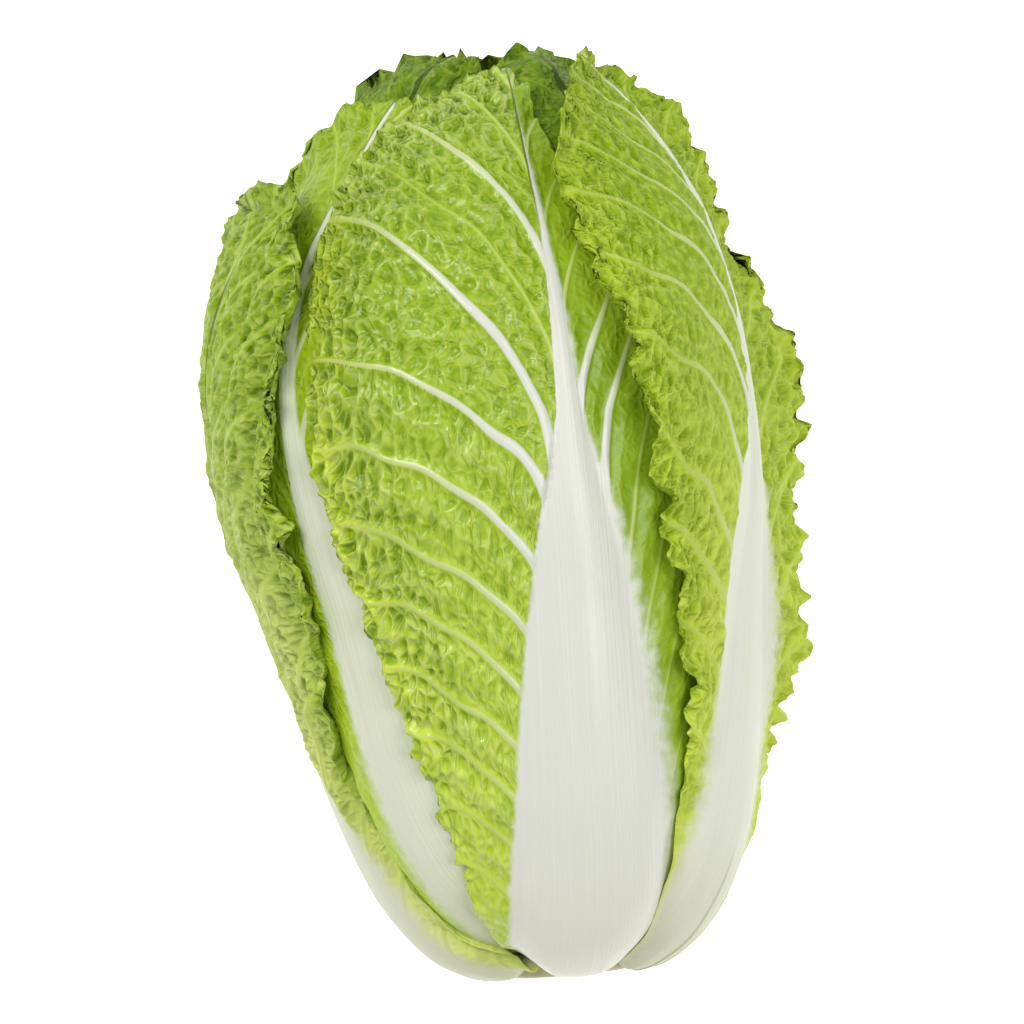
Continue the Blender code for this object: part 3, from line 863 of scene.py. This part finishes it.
def relief_tree():
    """Raises the veins of a leaf, sinks the blade between them, and frills the margin."""
    tree = bpy.data.node_groups.new("leaf relief", "GeometryNodeTree")
    input_of(tree, "Geometry", "NodeSocketGeometry")
    input_of(tree, "Geometry", "NodeSocketGeometry", in_out="OUTPUT")
    for name, value in (
        ("Vein height", 0.9), ("Crinkle depth", 0.8), ("Fine depth", 0.35), ("Quilting", 0.8),
        ("Ruffle height", 2.0), ("Ruffle length", 14.0), ("Ruffle reach", 22.0),
        ("Pleat height", 0.0), ("Pleat width", 16.0), ("Seed", 0.0),
    ):
        input_of(tree, name, "NodeSocketFloat", value)
    input_of(tree, "Finish", "NodeSocketMaterial")
    wires = Wiring(tree)
    start = tree.nodes.new("NodeGroupInput").outputs
    from_vein, from_thin_vein, crinkle, fine = leaf_lines(wires)
    number, margin = wires.read("vein_number"), wires.read("from_margin")
    up, across = wires.read("up_leaf"), wires.read("across_rib")
    off_middle = wires.ramp(wires.math("ABSOLUTE", across), 0.0, 3.0)
    blade = wires.times(wires.ramp(wires.read("past_rib"), 0.0, 1.2), off_middle)
    half = wires.read("vein_half")
    # The side veins stand up as ridges, with thinner ones halfway between them.
    ridge = wires.ramp(from_vein, 0.0, wires.times(half, 2.1), 1.0, 0.0)
    ridge = wires.times(ridge, half, start["Vein height"])
    thin_ridge = wires.times(wires.ramp(from_thin_vein, 0.1, 1.1, 0.34, 0.0),
                             start["Vein height"])
    # Clear of the veins, the blade sinks into crinkles, deepest towards the tip and margin.
    clear = wires.times(wires.ramp(from_vein, half, wires.sum(half, 2.5)),
                        wires.read("crumple"), wires.ramp(margin, 0.0, 3.0),
                        wires.ramp(wires.read("leaf_share"), 0.1, 0.6, 0.12, 1.0))
    uneven = wires.noise(wires.point(across, up, start["Seed"]), scale=0.13, detail=2.0)
    deep = wires.ramp(uneven, 0.28, 0.68, 0.25, 1.25)
    near_margin = wires.ramp(margin, 6.0, 45.0, 1.0, 0.6)
    hollow = wires.times(
        wires.ramp(crinkle, 0.15, 2.4), start["Crinkle depth"], deep, near_margin, clear, -1.0
    )
    at_edge = wires.ramp(margin, 8.0, 46.0, 1.0, 0.25)
    pits = wires.times(wires.ramp(fine, 0.1, 1.3), start["Fine depth"], at_edge, clear, -1.0)
    # It swells from vein to vein, and rolls gently all over.
    swell = wires.math("SINE", wires.times(number, math.pi))
    swell = wires.times(wires.math("MULTIPLY", swell, swell), start["Quilting"])
    bends = wires.times(
        wires.sum(wires.noise(wires.point(across, up, start["Seed"]), scale=0.05), -0.5),
        start["Quilting"], 2.4,
    )
    # The margin frills where no other leaf holds it down.
    run = wires.math("DIVIDE", wires.read("edge_run"), start["Ruffle length"])
    deep_in = wires.math("DIVIDE", margin, wires.times(start["Ruffle length"], 1.6))
    frill = wires.noise(wires.point(run, deep_in, start["Seed"]), scale=1.0, detail=2.5)
    curls = wires.noise(wires.point(run, deep_in, start["Seed"]), scale=2.7, detail=1.0)
    frill = wires.sum(wires.ramp(frill, 0.36, 0.66, -0.35, 1.0),
                      wires.ramp(curls, 0.35, 0.65, -0.15, 0.15))
    by_margin = wires.ramp(margin, 0.0, start["Ruffle reach"], 1.0, 0.0)
    frill = wires.times(frill, wires.times(by_margin, by_margin), start["Ruffle height"],
                        wires.read("in_open"), wires.read("frilled"))
    # A leaf that has dried a little falls into long pleats.
    fold = wires.sum(
        wires.math("DIVIDE", across, start["Pleat width"]),
        wires.times(wires.noise(wires.point(0.0, up, start["Seed"]), scale=0.018), 1.6),
    )
    fold = wires.math("ABSOLUTE", wires.math("SINE", wires.times(fold, math.pi)))
    fold = wires.times(wires.sum(wires.math("POWER", fold, 0.7), -0.5), start["Pleat height"],
                       wires.read("in_open"))
    # The inner face lies deeper than the crinkles, so that they don't break through it.
    deepest = wires.sum(wires.times(start["Crinkle depth"], 0.5), start["Fine depth"])
    behind = wires.times(wires.read("inner_face"), deepest, wires.ramp(margin, 0.5, 4.0), -1.0)
    height = wires.sum(ridge, thin_ridge, hollow, pits, swell, bends, behind)
    height = wires.sum(wires.times(height, blade, wires.read("relief")),
                       wires.times(wires.sum(frill, fold), blade))
    outward = tree.nodes.new("GeometryNodeInputNamedAttribute")
    outward.data_type = "FLOAT_VECTOR"
    outward.inputs[0].default_value = "outward"
    move = wires.add(
        "ShaderNodeVectorMath",
        {0: outward.outputs[0], "Scale": wires.times(height, MM)},
        operation="SCALE",
    )
    moved = wires.add("GeometryNodeSetPosition", {"Geometry": start[0], "Offset": move})
    spot = wires.add("GeometryNodeInputPosition")
    on_table = wires.add("ShaderNodeVectorMath", {0: spot, 1: (-9, -9, 0)}, operation="MAXIMUM")
    stood = wires.add("GeometryNodeSetPosition", {"Geometry": moved, "Position": on_table})
    smooth = wires.add("GeometryNodeSetShadeSmooth", {"Geometry": stood})
    real = wires.add("GeometryNodeRealizeInstances", {"Geometry": smooth})
    painted = wires.add(
        "GeometryNodeSetMaterial", {"Geometry": real, "Material": start["Finish"]}
    )
    tree.links.new(painted, tree.nodes.new("NodeGroupOutput").inputs[0])
    return tree


# A leaf's colours. One of them is a darker green used only as painted shade: in the crinkles'
# hollows and pits, and where another leaf shades the blade.
Tones = namedtuple("Tones", "low high margin pit vein rib rib_foot")


def leaf_finish(name, tones, gloss, crinkle_shade=0.5, net_light=0.5, sheen=0.1):
    """A leaf: white midrib with fine lengthwise strands, green blade, paler net of veins."""
    made, wires, shader = finish_of(name, coat=gloss)
    shader.inputs["Specular IOR Level"].default_value = sheen
    shader.inputs["Coat Roughness"].default_value = 0.30 - 0.36 * gloss
    from_vein, from_thin_vein, crinkle, fine = leaf_lines(wires)
    across, up = wires.read("across_rib"), wires.read("up_leaf")
    share, margin, half = (wires.read(n) for n in ("leaf_share", "from_margin", "vein_half"))
    flat = wires.point(across, up)
    cloud = wires.noise(flat, scale=0.045, detail=1.0, dimensions="2D")
    mottle = wires.noise(flat, scale=0.35, detail=2.0, roughness=0.6, dimensions="2D")
    # The blade is paler towards the foot and clouded. Along the margin it turns a brighter
    # yellow-green, partly its own colour and partly painted light, as of light shining through the
    # thin edge.
    green = wires.mix(wires.ramp(share, 0.25, 0.85), tones.low, tones.high)
    off_foot = wires.ramp(share, 0.1, 0.5, 0.25, 1.0)
    by_margin = wires.times(wires.ramp(margin, 2.0, 26.0, 0.85, 0.0), off_foot,
                            wires.ramp(share, 0.78, 0.95, 1.0, 0.25))
    green = wires.mix(by_margin, green, tones.margin)
    green = wires.mix(wires.ramp(cloud, 0.35, 0.7, 0.0, 0.35), green, tones.high)
    # Its crinkles get painted shade in their hollows and in the small pits near the margin, clear
    # of the veins.
    near = wires.times(wires.ramp(margin, 8.0, 40.0, 1.0, 0.55), off_foot)
    clear = wires.times(wires.ramp(from_vein, wires.times(half, 0.8), wires.sum(half, 1.6)),
                        wires.read("crumple"))
    hollow_shade = wires.times(wires.ramp(crinkle, 0.4, 2.6), near, clear, crinkle_shade)
    green = wires.mix(hollow_shade, green, tones.pit)
    pit_shade = wires.times(wires.ramp(fine, 0.55, 1.5), clear, off_foot,
                         wires.ramp(margin, 4.0, 34.0, 0.3, 0.08))
    green = wires.mix(pit_shade, green, tones.pit)
    green = wires.mix(wires.ramp(mottle, 0.4, 0.72, 0.0, 0.35), green, tones.low)
    # Where a half's crinkles are shallow, as on the front leaf's right half beneath the right
    # leaf's frill, it is darkened with painted shadow.
    green = wires.mix(wires.ramp(wires.read("crumple"), 0.2, 1.0, 0.45, 0.0), green, tones.pit)
    # A pale net of small veins runs between the crinkles, and the side veins over it.
    beside = wires.ramp(from_vein, half, wires.sum(wires.times(half, 2.0), 22.0), 1.0, 0.0)
    net = wires.times(wires.ramp(crinkle, 0.15, 0.8, 1.0, 0.0), wires.sum(0.25, beside),
                      wires.ramp(margin, 12.0, 50.0, 1.0, 0.4))
    thin = wires.ramp(from_thin_vein, 0.3, 0.85, 0.75, 0.0)
    small = wires.times(wires.ramp(fine, 0.08, 0.45, 0.5, 0.0),
                        wires.ramp(margin, 5.0, 32.0, 1.0, 0.12))
    lines = wires.math("MAXIMUM", wires.math("MAXIMUM", net, thin), small)
    lines = wires.times(lines, clear)
    green = wires.mix(wires.times(lines, net_light), green, tones.vein)
    vein = wires.ramp(from_vein, wires.times(half, 0.75), wires.sum(wires.times(half, 1.15), 0.25),
                      1.0, 0.0)
    vein = wires.times(vein, wires.ramp(half, 0.1, 0.7, 0.35, 1.0))
    vein_tone = wires.mix(wires.ramp(half, 0.5, 1.3), tones.vein, tones.rib)
    green = wires.mix(vein, green, vein_tone)
    # The midrib is white with lengthwise strands, and meets the blade in a ragged edge.
    strands = wires.noise(wires.point(wires.times(across, 1.5), wires.times(up, 0.012)),
                          scale=1.0, detail=2.0, dimensions="2D")
    white = wires.mix(wires.ramp(up, 12.0, 75.0), tones.rib_foot, tones.rib)
    white = wires.mix(wires.ramp(strands, 0.42, 0.75, 0.0, 0.55), white, tones.rib_foot)
    ragged = wires.noise(flat, scale=0.22, detail=2.0, dimensions="2D")
    ragged = wires.times(wires.sum(ragged, -0.5), 0.9)
    off_rib = wires.ramp(wires.sum(wires.read("past_rib"), ragged), -0.25, 1.0)
    colour = wires.mix(off_rib, white, green)
    on_rib = wires.ramp(off_rib, 0.0, 1.0, 1.0, 0.0)
    green_part = wires.ramp(wires.read("past_rib"), -0.25, 1.0)
    raised = wires.sum(
        wires.times(wires.ramp(fine, 0.0, 1.2), -0.55, green_part, near, clear),
        wires.times(strands, 0.16, wires.ramp(green_part, 0.0, 1.0, 1.0, 0.0)),
    )
    bump = wires.add(
        "ShaderNodeBump", {"Height": raised, "Distance": 1.2 * MM, "Strength": 1.0}
    )
    dull = wires.ramp(mottle, 0.3, 0.7, 0.5 - 0.5 * gloss, 0.62 - 0.5 * gloss)
    rough = wires.sum(wires.times(dull, off_rib), wires.times(0.42, on_rib))
    connect(wires, shader, base_color=colour, normal=bump, roughness=rough)
    return made


LEAF_RELIEF = relief_tree()


def grown(leaf, growth, finish, free_from, **surface):
    """Makes one leaf, and gives it with where the next one may start."""
    blade = laid_under(leaf, free_from)
    points, faces, values, flat = leaf_mesh(leaf, growth, blade, free_from)
    piece = new_piece(f"{leaf.name}_blade", points, faces, finish)
    write_values(piece.data, **values)
    layer = piece.data.uv_layers.new(name="OFBake")
    layer.data.foreach_set("uv", flat.astype(np.float32).ravel())
    applied(piece, LEAF_RELIEF, seed=float(growth.seed), finish=finish, **surface)
    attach(piece, "root")
    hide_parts(leaf.name)
    return piece, taken_by(leaf, blade, free_from)


matt_green = leaf_finish(
    "matt_green_leaf",
    Tones(
        low=paint(222, 238, 96), high=paint(142, 175, 14), margin=paint(188, 214, 34),
        pit=paint(92, 132, 2), vein=paint(200, 214, 118), rib=paint(231, 233, 218),
        rib_foot=paint(224, 225, 196),
    ),
    gloss=0.05, crinkle_shade=0.45, net_light=0.26,
)
nothing_laid = np.zeros((BEARINGS, STATIONS))
right_leaf, free_from = grown(
    Leaf(
        "right_leaf", (55, 68, 78, 86, 66), (20, 29, 45, 62, 62), (28, 32, 28, 26, 26), 0.925,
        1.7, (-1, 0, 6, 8, 4), (0, 0, 16, 10, 0), 1.5,
    ),
    Growth(
        rows=371, columns=181, lobes=(5.0, 17.0), teeth=(1.6, 4.6), edge_fade=(4.5, 6.0),
        left_veins=Veins(
            (30, 54, 78, 101, 117, 142, 165, 188, 212, 236),
            (3.8, 3.8, 3.8, 3.8, 3.9, 4.0, 4.2, 4.2, 4.0, 3.8),
            (0.4, 0.5, 0.6, 0.8, 0.9, 1.1, 1.2, 1.1, 1.0, 0.8),
        ),
        right_veins=Veins(
            (34, 54, 76, 98, 121, 146, 170, 196, 222, 246),
            (4.2, 4.4, 4.6, 4.8, 5.0, 5.0, 4.8, 4.6, 4.4, 4.0),
            (0.4, 0.4, 0.5, 0.5, 0.5, 0.5, 0.5, 0.5, 0.4, 0.4),
        ),
        seed=11, smooth_foot=0.17, white_left=(0.68, 0.80, 1.8, 2.4, 0.5),
        white_right=(1, 1, 1.4, 1.4, 0.3), tuck_left=(2.4, 3.9, 2.2, 1.0, 0.0),
    ),
    matt_green, nothing_laid,
    vein_height=1.1, crinkle_depth=1.1, fine_depth=0.9, quilting=1.3, ruffle_height=5.2,
    ruffle_length=12.0, ruffle_reach=17.0,
)


# ------------------------------------------------------------
# The left leaf. A shorter, darker leaf on the head's left side, loosely laid: its blade has
# dried a little and folds into long pleats, and its free margin curls off the leaf below.
# ------------------------------------------------------------
dark_green = leaf_finish(
    "dark_green_leaf",
    Tones(
        low=paint(240, 246, 150), high=paint(146, 180, 8), margin=paint(164, 196, 14),
        pit=paint(62, 108, 0), vein=paint(190, 208, 100), rib=paint(226, 230, 206),
        rib_foot=paint(220, 222, 190),
    ),
    gloss=0.2, crinkle_shade=0.65, net_light=0.3,
)
left_leaf, free_from = grown(
    Leaf(
        "left_leaf", (-75, -88, -92, -84, -62), (46, 50, 54, 56, 60), (52, 22, 43, 40, 34),
        0.805, 1.7, (0, 0, 0, 2, 4), (-1, -0.5, 3, 5, 5), 3.0,
    ),
    Growth(
        rows=331, columns=171, lobes=(4.0, 16.0), teeth=(1.4, 4.6), edge_fade=(6.0, 4.0),
        left_veins=Veins(
            (34, 54, 76, 98, 121, 146, 170, 196, 222),
            (5.4, 5.6, 5.8, 6.0, 6.2, 6.2, 6.0, 5.8, 5.6),
            (0.5, 0.5, 0.6, 0.6, 0.6, 0.6, 0.6, 0.5, 0.5),
        ),
        right_veins=Veins(
            (30, 48, 68, 90, 112, 136, 160, 186, 212),
            (6.2, 6.4, 6.6, 6.8, 7.0, 7.0, 6.8, 6.6, 6.4),
            (0.5, 0.5, 0.6, 0.6, 0.6, 0.6, 0.6, 0.5, 0.5),
        ),
        seed=23, smooth_foot=0.22, white_left=(1, 1, 0.5, 0.1, 0.1),
        white_right=(0.62, 0.50, 0.35, 0.1, 0.1), tuck_right=(3.0, 4.6, 3.5, 4.0, 2.0),
    ),
    dark_green, free_from,
    vein_height=0.9, crinkle_depth=1.2, fine_depth=1.2, quilting=1.0, ruffle_height=4.2,
    ruffle_length=12.0, ruffle_reach=15.0, pleat_height=4.6, pleat_width=20.0,
)


# ------------------------------------------------------------
# The back leaf. The leaf that the head lies on. Its broad midrib runs along the underside,
# where the head's weight has pressed it flat against the table.
# ------------------------------------------------------------
WRAPPER_VEINS = Veins(
    (34, 54, 76, 98, 121, 146, 170, 196, 222, 246),
    (4.4, 4.4, 4.6, 4.8, 5.0, 5.2, 5.4, 5.4, 5.2, 4.8),
    (0.6, 0.7, 0.9, 1.0, 1.1, 1.1, 1.0, 0.9, 0.7, 0.6),
)
FAINT_VEINS = WRAPPER_VEINS._replace(halves=(0.3,) * 10)
NARROW_TIP = (1, 1, 0.8, 0.4, 0.15)
LOW_RELIEF = {
    "vein_height": 0.7, "crinkle_depth": 0.5, "fine_depth": 0.3, "quilting": 0.7,
    "ruffle_length": 15.0, "ruffle_reach": 18.0,
}
back_leaf, free_from = grown(
    Leaf(
        "back_leaf", (176, 180, 184, 182, 180), (36, 46, 54, 60, 72), (36, 46, 54, 60, 72), 0.92,
    ),
    Growth(
        rows=241, columns=141, lobes=(3.0, 21.0), teeth=(1.4, 5.4), edge_fade=(5.0, 6.0),
        left_veins=WRAPPER_VEINS, right_veins=WRAPPER_VEINS, seed=37,
        white_left=NARROW_TIP, white_right=NARROW_TIP,
    ),
    matt_green, free_from, ruffle_height=2.5, **LOW_RELIEF,
)


# ------------------------------------------------------------
# The front leaf. The glossy leaf on top of the head as it lies. A flat white midrib twice as
# broad as a thumb narrows as it climbs, and throws thick veins out to the left; the blade
# between them is sunk into blisters that get smaller towards the toothed margin.
# ------------------------------------------------------------
glossy_green = leaf_finish(
    "glossy_green_leaf",
    Tones(
        low=paint(198, 222, 66), high=paint(148, 182, 8), margin=paint(222, 242, 54),
        pit=paint(92, 140, 0), vein=paint(204, 218, 124), rib=paint(229, 230, 219),
        rib_foot=paint(238, 238, 220),
    ),
    gloss=0.45, crinkle_shade=0.55, net_light=0.42, sheen=0.25,
)
front_leaf, free_from = grown(
    Leaf(
        "front_leaf", (10, 12.5, 17, 18.5, 13), (41, 45, 57, 62, 68), (36, 34, 40, 15, 9), 0.93,
        1.7, (0, 1, 2, 2, 1),
    ),
    Growth(
        rows=377, columns=197, lobes=(2.2, 17.0), teeth=(1.3, 4.6), edge_fade=(1.6, 8.0),
        left_veins=Veins(
            (20, 35, 50, 66, 84, 103, 125, 147, 157, 190, 222, 252),
            (3.2, 3.3, 3.4, 3.4, 3.5, 3.5, 3.6, 3.9, 6.9, 6.4, 6.0, 6.2),
            (0.5, 0.6, 0.7, 0.8, 0.9, 1.0, 1.25, 1.45, 1.6, 0.45, 1.15, 0.5),
        ),
        right_veins=Veins(
            (30, 56, 84, 112, 144, 175, 206, 234),
            (8.0, 8.0, 8.2, 8.2, 7.4, 6.2, 5.6, 5.2),
            (0.4, 0.4, 0.45, 0.5, 1.4, 1.3, 0.6, 0.5),
        ),
        seed=53, smooth_foot=0.05, rungs=(7, 0), crumple=(1.25, 0.22),
        white_left=(1, 1, 1, 0.6, 0.05), white_right=(1, 1, 1, 0.6, 0.05),
        tuck_left=(3.0, 3.6, 4.4, 3.0, 3.0),
    ),
    glossy_green, free_from,
    vein_height=1.1, crinkle_depth=1.6, fine_depth=1.2, quilting=1.2, ruffle_height=2.6,
    ruffle_length=10.0, ruffle_reach=16.0,
)


# ------------------------------------------------------------
# The side leaves behind and below. They fill the gaps between the first four, so only their
# tips and a strip of each blade show, with the left front one's long pale rib beside it.
# ------------------------------------------------------------
BACK_REACH = (34, 42, 50, 56, 68)
for leaf, seed in (
    (Leaf("right_back_leaf", (122, 125, 128, 126, 122), BACK_REACH, BACK_REACH, 0.93, rib=0.9), 61),
    (
        Leaf(
            "left_back_leaf", (-142, -138, -136, -138, -142), BACK_REACH, (42, 46, 50, 56, 68),
            0.91, rib=0.9,
        ),
        67,
    ),
):
    side_back_leaf, free_from = grown(
        leaf,
        Growth(
            rows=221, columns=121, lobes=(3.0, 20.0), teeth=(1.4, 5.2), edge_fade=(5.0, 6.0),
            left_veins=WRAPPER_VEINS, right_veins=WRAPPER_VEINS, seed=seed,
            white_left=NARROW_TIP, white_right=NARROW_TIP,
        ),
        matt_green, free_from, ruffle_height=3.0, **LOW_RELIEF,
    )

yellow_green = leaf_finish(
    "yellow_green_leaf",
    Tones(
        low=paint(186, 214, 30), high=paint(160, 190, 24), margin=paint(150, 186, 16),
        pit=paint(110, 152, 4), vein=paint(206, 220, 130), rib=paint(230, 234, 210),
        rib_foot=paint(222, 227, 186),
    ),
    gloss=0.2, crinkle_shade=0.35, net_light=0.3,
)
left_front_leaf, free_from = grown(
    Leaf(
        "left_front_leaf", (-32, -46, -47, -48, -42), (34, 40, 48, 48, 56),
        (30, 36, 44, 46, 48), 0.90, 1.7, (0, 0, 0, 1, 3), rib=0.9,
    ),
    Growth(
        rows=281, columns=141, lobes=(3.0, 20.0), teeth=(1.4, 5.0), edge_fade=(4.0, 6.0),
        left_veins=FAINT_VEINS, right_veins=WRAPPER_VEINS, seed=71,
        white_left=(0.1, 0.12, 0.2, 0.4, 0.3),
    ),
    yellow_green, free_from,
    vein_height=0.8, crinkle_depth=0.6, fine_depth=0.35, quilting=0.8, ruffle_height=2.0,
    ruffle_length=14.0, ruffle_reach=16.0,
)


# ------------------------------------------------------------
# The inner leaves. Younger leaves follow one another round the stem, each turned by the same
# angle from the last. Only their crinkled tips show at the crown, where light has greened
# the outer ring; the ring at the heart has stayed pale yellow.
# ------------------------------------------------------------
GOLDEN_ANGLE = 137.5
FIRST_INNER_BEARING = 45.0
HALF_ANGLE_SHARES = (0.65, 0.82, 1.0, 1.15, 1.5)
INNER_VEINS = Veins(
    (40, 70, 100, 130, 160, 190, 220, 248), (3.6,) * 8, (0.8, 0.8, 0.8, 0.8, 0.7, 0.6, 0.4, 0.3)
)
INNER_WHITE = (1, 1, 0.8, 0.3, 0.1)
deep_green_tip = leaf_finish(
    "deep_green_tip",
    Tones(
        low=paint(190, 206, 80), high=paint(104, 142, 4), margin=paint(98, 138, 2),
        pit=paint(58, 98, 0), vein=paint(160, 184, 60), rib=paint(226, 230, 206),
        rib_foot=paint(216, 220, 176),
    ),
    gloss=0.08, crinkle_shade=0.6, net_light=0.28,
)
pale_yellow_heart = leaf_finish(
    "pale_yellow_heart",
    Tones(
        low=paint(230, 228, 150), high=paint(208, 212, 84), margin=paint(190, 204, 54),
        pit=paint(184, 190, 46), vein=paint(234, 234, 180), rib=paint(236, 236, 210),
        rib_foot=paint(228, 228, 196),
    ),
    gloss=0.2, crinkle_shade=0.4, net_light=0.4,
)
bearing = FIRST_INNER_BEARING
for ring, number, half_angle, tip, gap, tip_lift, rib, ring_finish in (
    ("middle_leaf", 8, 54.0, 0.978, 3.0, 2.0, 0.72, deep_green_tip),
    ("heart_leaf", 9, 58.0, 0.965, 4.7, 0.0, 0.50, pale_yellow_heart),
):
    half = tuple(half_angle * share for share in HALF_ANGLE_SHARES)
    for place_in_ring in range(1, number + 1):
        inner_leaf, free_from = grown(
            Leaf(
                f"{ring}_{place_in_ring}", (bearing,) * 5, half, half, tip, gap,
                tip_lift=tip_lift, rib=rib, reach=INNER_REACH,
            ),
            Growth(
                rows=71, columns=51, lobes=(3.0, 17.0), teeth=(1.2, 4.8), edge_fade=(5.0, 5.0),
                left_veins=INNER_VEINS, right_veins=INNER_VEINS, seed=80 + place_in_ring * 3,
                white_left=INNER_WHITE, white_right=INNER_WHITE,
            ),
            ring_finish, free_from,
            vein_height=0.7, crinkle_depth=1.0, fine_depth=0.5, quilting=0.9,
            ruffle_height=4.0, ruffle_length=11.0, ruffle_reach=20.0,
        )
        bearing += GOLDEN_ANGLE


# ------------------------------------------------------------
# The table. A plain near-white light table, lit faintly from below, that the head is laid on
# to be looked at, so that it throws next to no shadow.
# ------------------------------------------------------------
TABLE_SIZE = 8.0
TABLE_GLOW = 0.5


def table_finish():
    made, wires, shader = finish_of("white_table", roughness=0.7)
    spot = wires.add("ShaderNodeTexCoord", out=3)
    grain = wires.noise(spot, scale=60.0, detail=3.0)
    white = wires.mix(grain, paint(252, 252, 252), paint(250, 250, 249))
    connect(wires, shader, base_color=white)
    shader.inputs["Emission Color"].default_value = (1.0, 1.0, 1.0, 1.0)
    shader.inputs["Emission Strength"].default_value = TABLE_GLOW
    return made


corner = TABLE_SIZE / 2
table = new_piece(
    "table_top",
    np.array([(-corner, -corner, 0), (corner, -corner, 0), (corner, corner, 0),
              (-corner, corner, 0)]),
    [(0, 1, 2, 3)],
    table_finish(),
)


# ------------------------------------------------------------
# The light. One large soft lamp above the upper left, a wider and weaker one on the right, a
# small one that puts glints on the wet blades, and an even white surround to soften shadows.
# ------------------------------------------------------------
def soft_lamp(name, spot, size, power):
    """A round lamp of this width in metres and power in watts, aimed at the head."""
    lamp = bpy.data.lights.new(name, "AREA")
    lamp.shape = "DISK"
    lamp.size = size
    lamp.energy = power
    made = bpy.data.objects.new(name, lamp)
    made.location = spot
    made.rotation_euler = (-made.location).to_track_quat("-Z", "Y").to_euler()
    bpy.context.scene.collection.objects.link(made)


soft_lamp("main_lamp", (-0.8, 0.8, 1.5), 0.8, 13.0)
soft_lamp("fill_lamp", (1.0, -0.1, 1.4), 1.2, 10.0)
soft_lamp("small_lamp", (-0.5, 0.4, 2.0), 0.14, 3.0)
SURROUND_STRENGTH = 0.37
world = bpy.data.worlds.new("white_surround")
world.use_nodes = True
surround = world.node_tree.nodes["Background"].inputs
surround["Color"].default_value = (1.0, 1.0, 1.0, 1.0)
surround["Strength"].default_value = SURROUND_STRENGTH
bpy.context.scene.world = world
bpy.context.scene.view_settings.view_transform = "Standard"


# ------------------------------------------------------------
# The camera. It looks straight down on the head from well above, turned a little, so that
# the head leans slightly to the left in the frame.
# ------------------------------------------------------------
CAMERA_HEIGHT = 2.6
VIEW_WIDTH = 0.322
VIEW_HEIGHT = 0.085
VIEW_TURN = math.radians(-5.37)
lens = bpy.data.cameras.new("camera")
lens.sensor_width = 36.0
lens.lens = 36.0 * (CAMERA_HEIGHT - VIEW_HEIGHT) / VIEW_WIDTH
lens.clip_end = 20.0
camera = bpy.data.objects.new("camera", lens)
camera.location = (0.0001, 0.0018, CAMERA_HEIGHT)
camera.rotation_euler = (0.0, 0.0, VIEW_TURN)
bpy.context.scene.collection.objects.link(camera)
bpy.context.scene.camera = camera
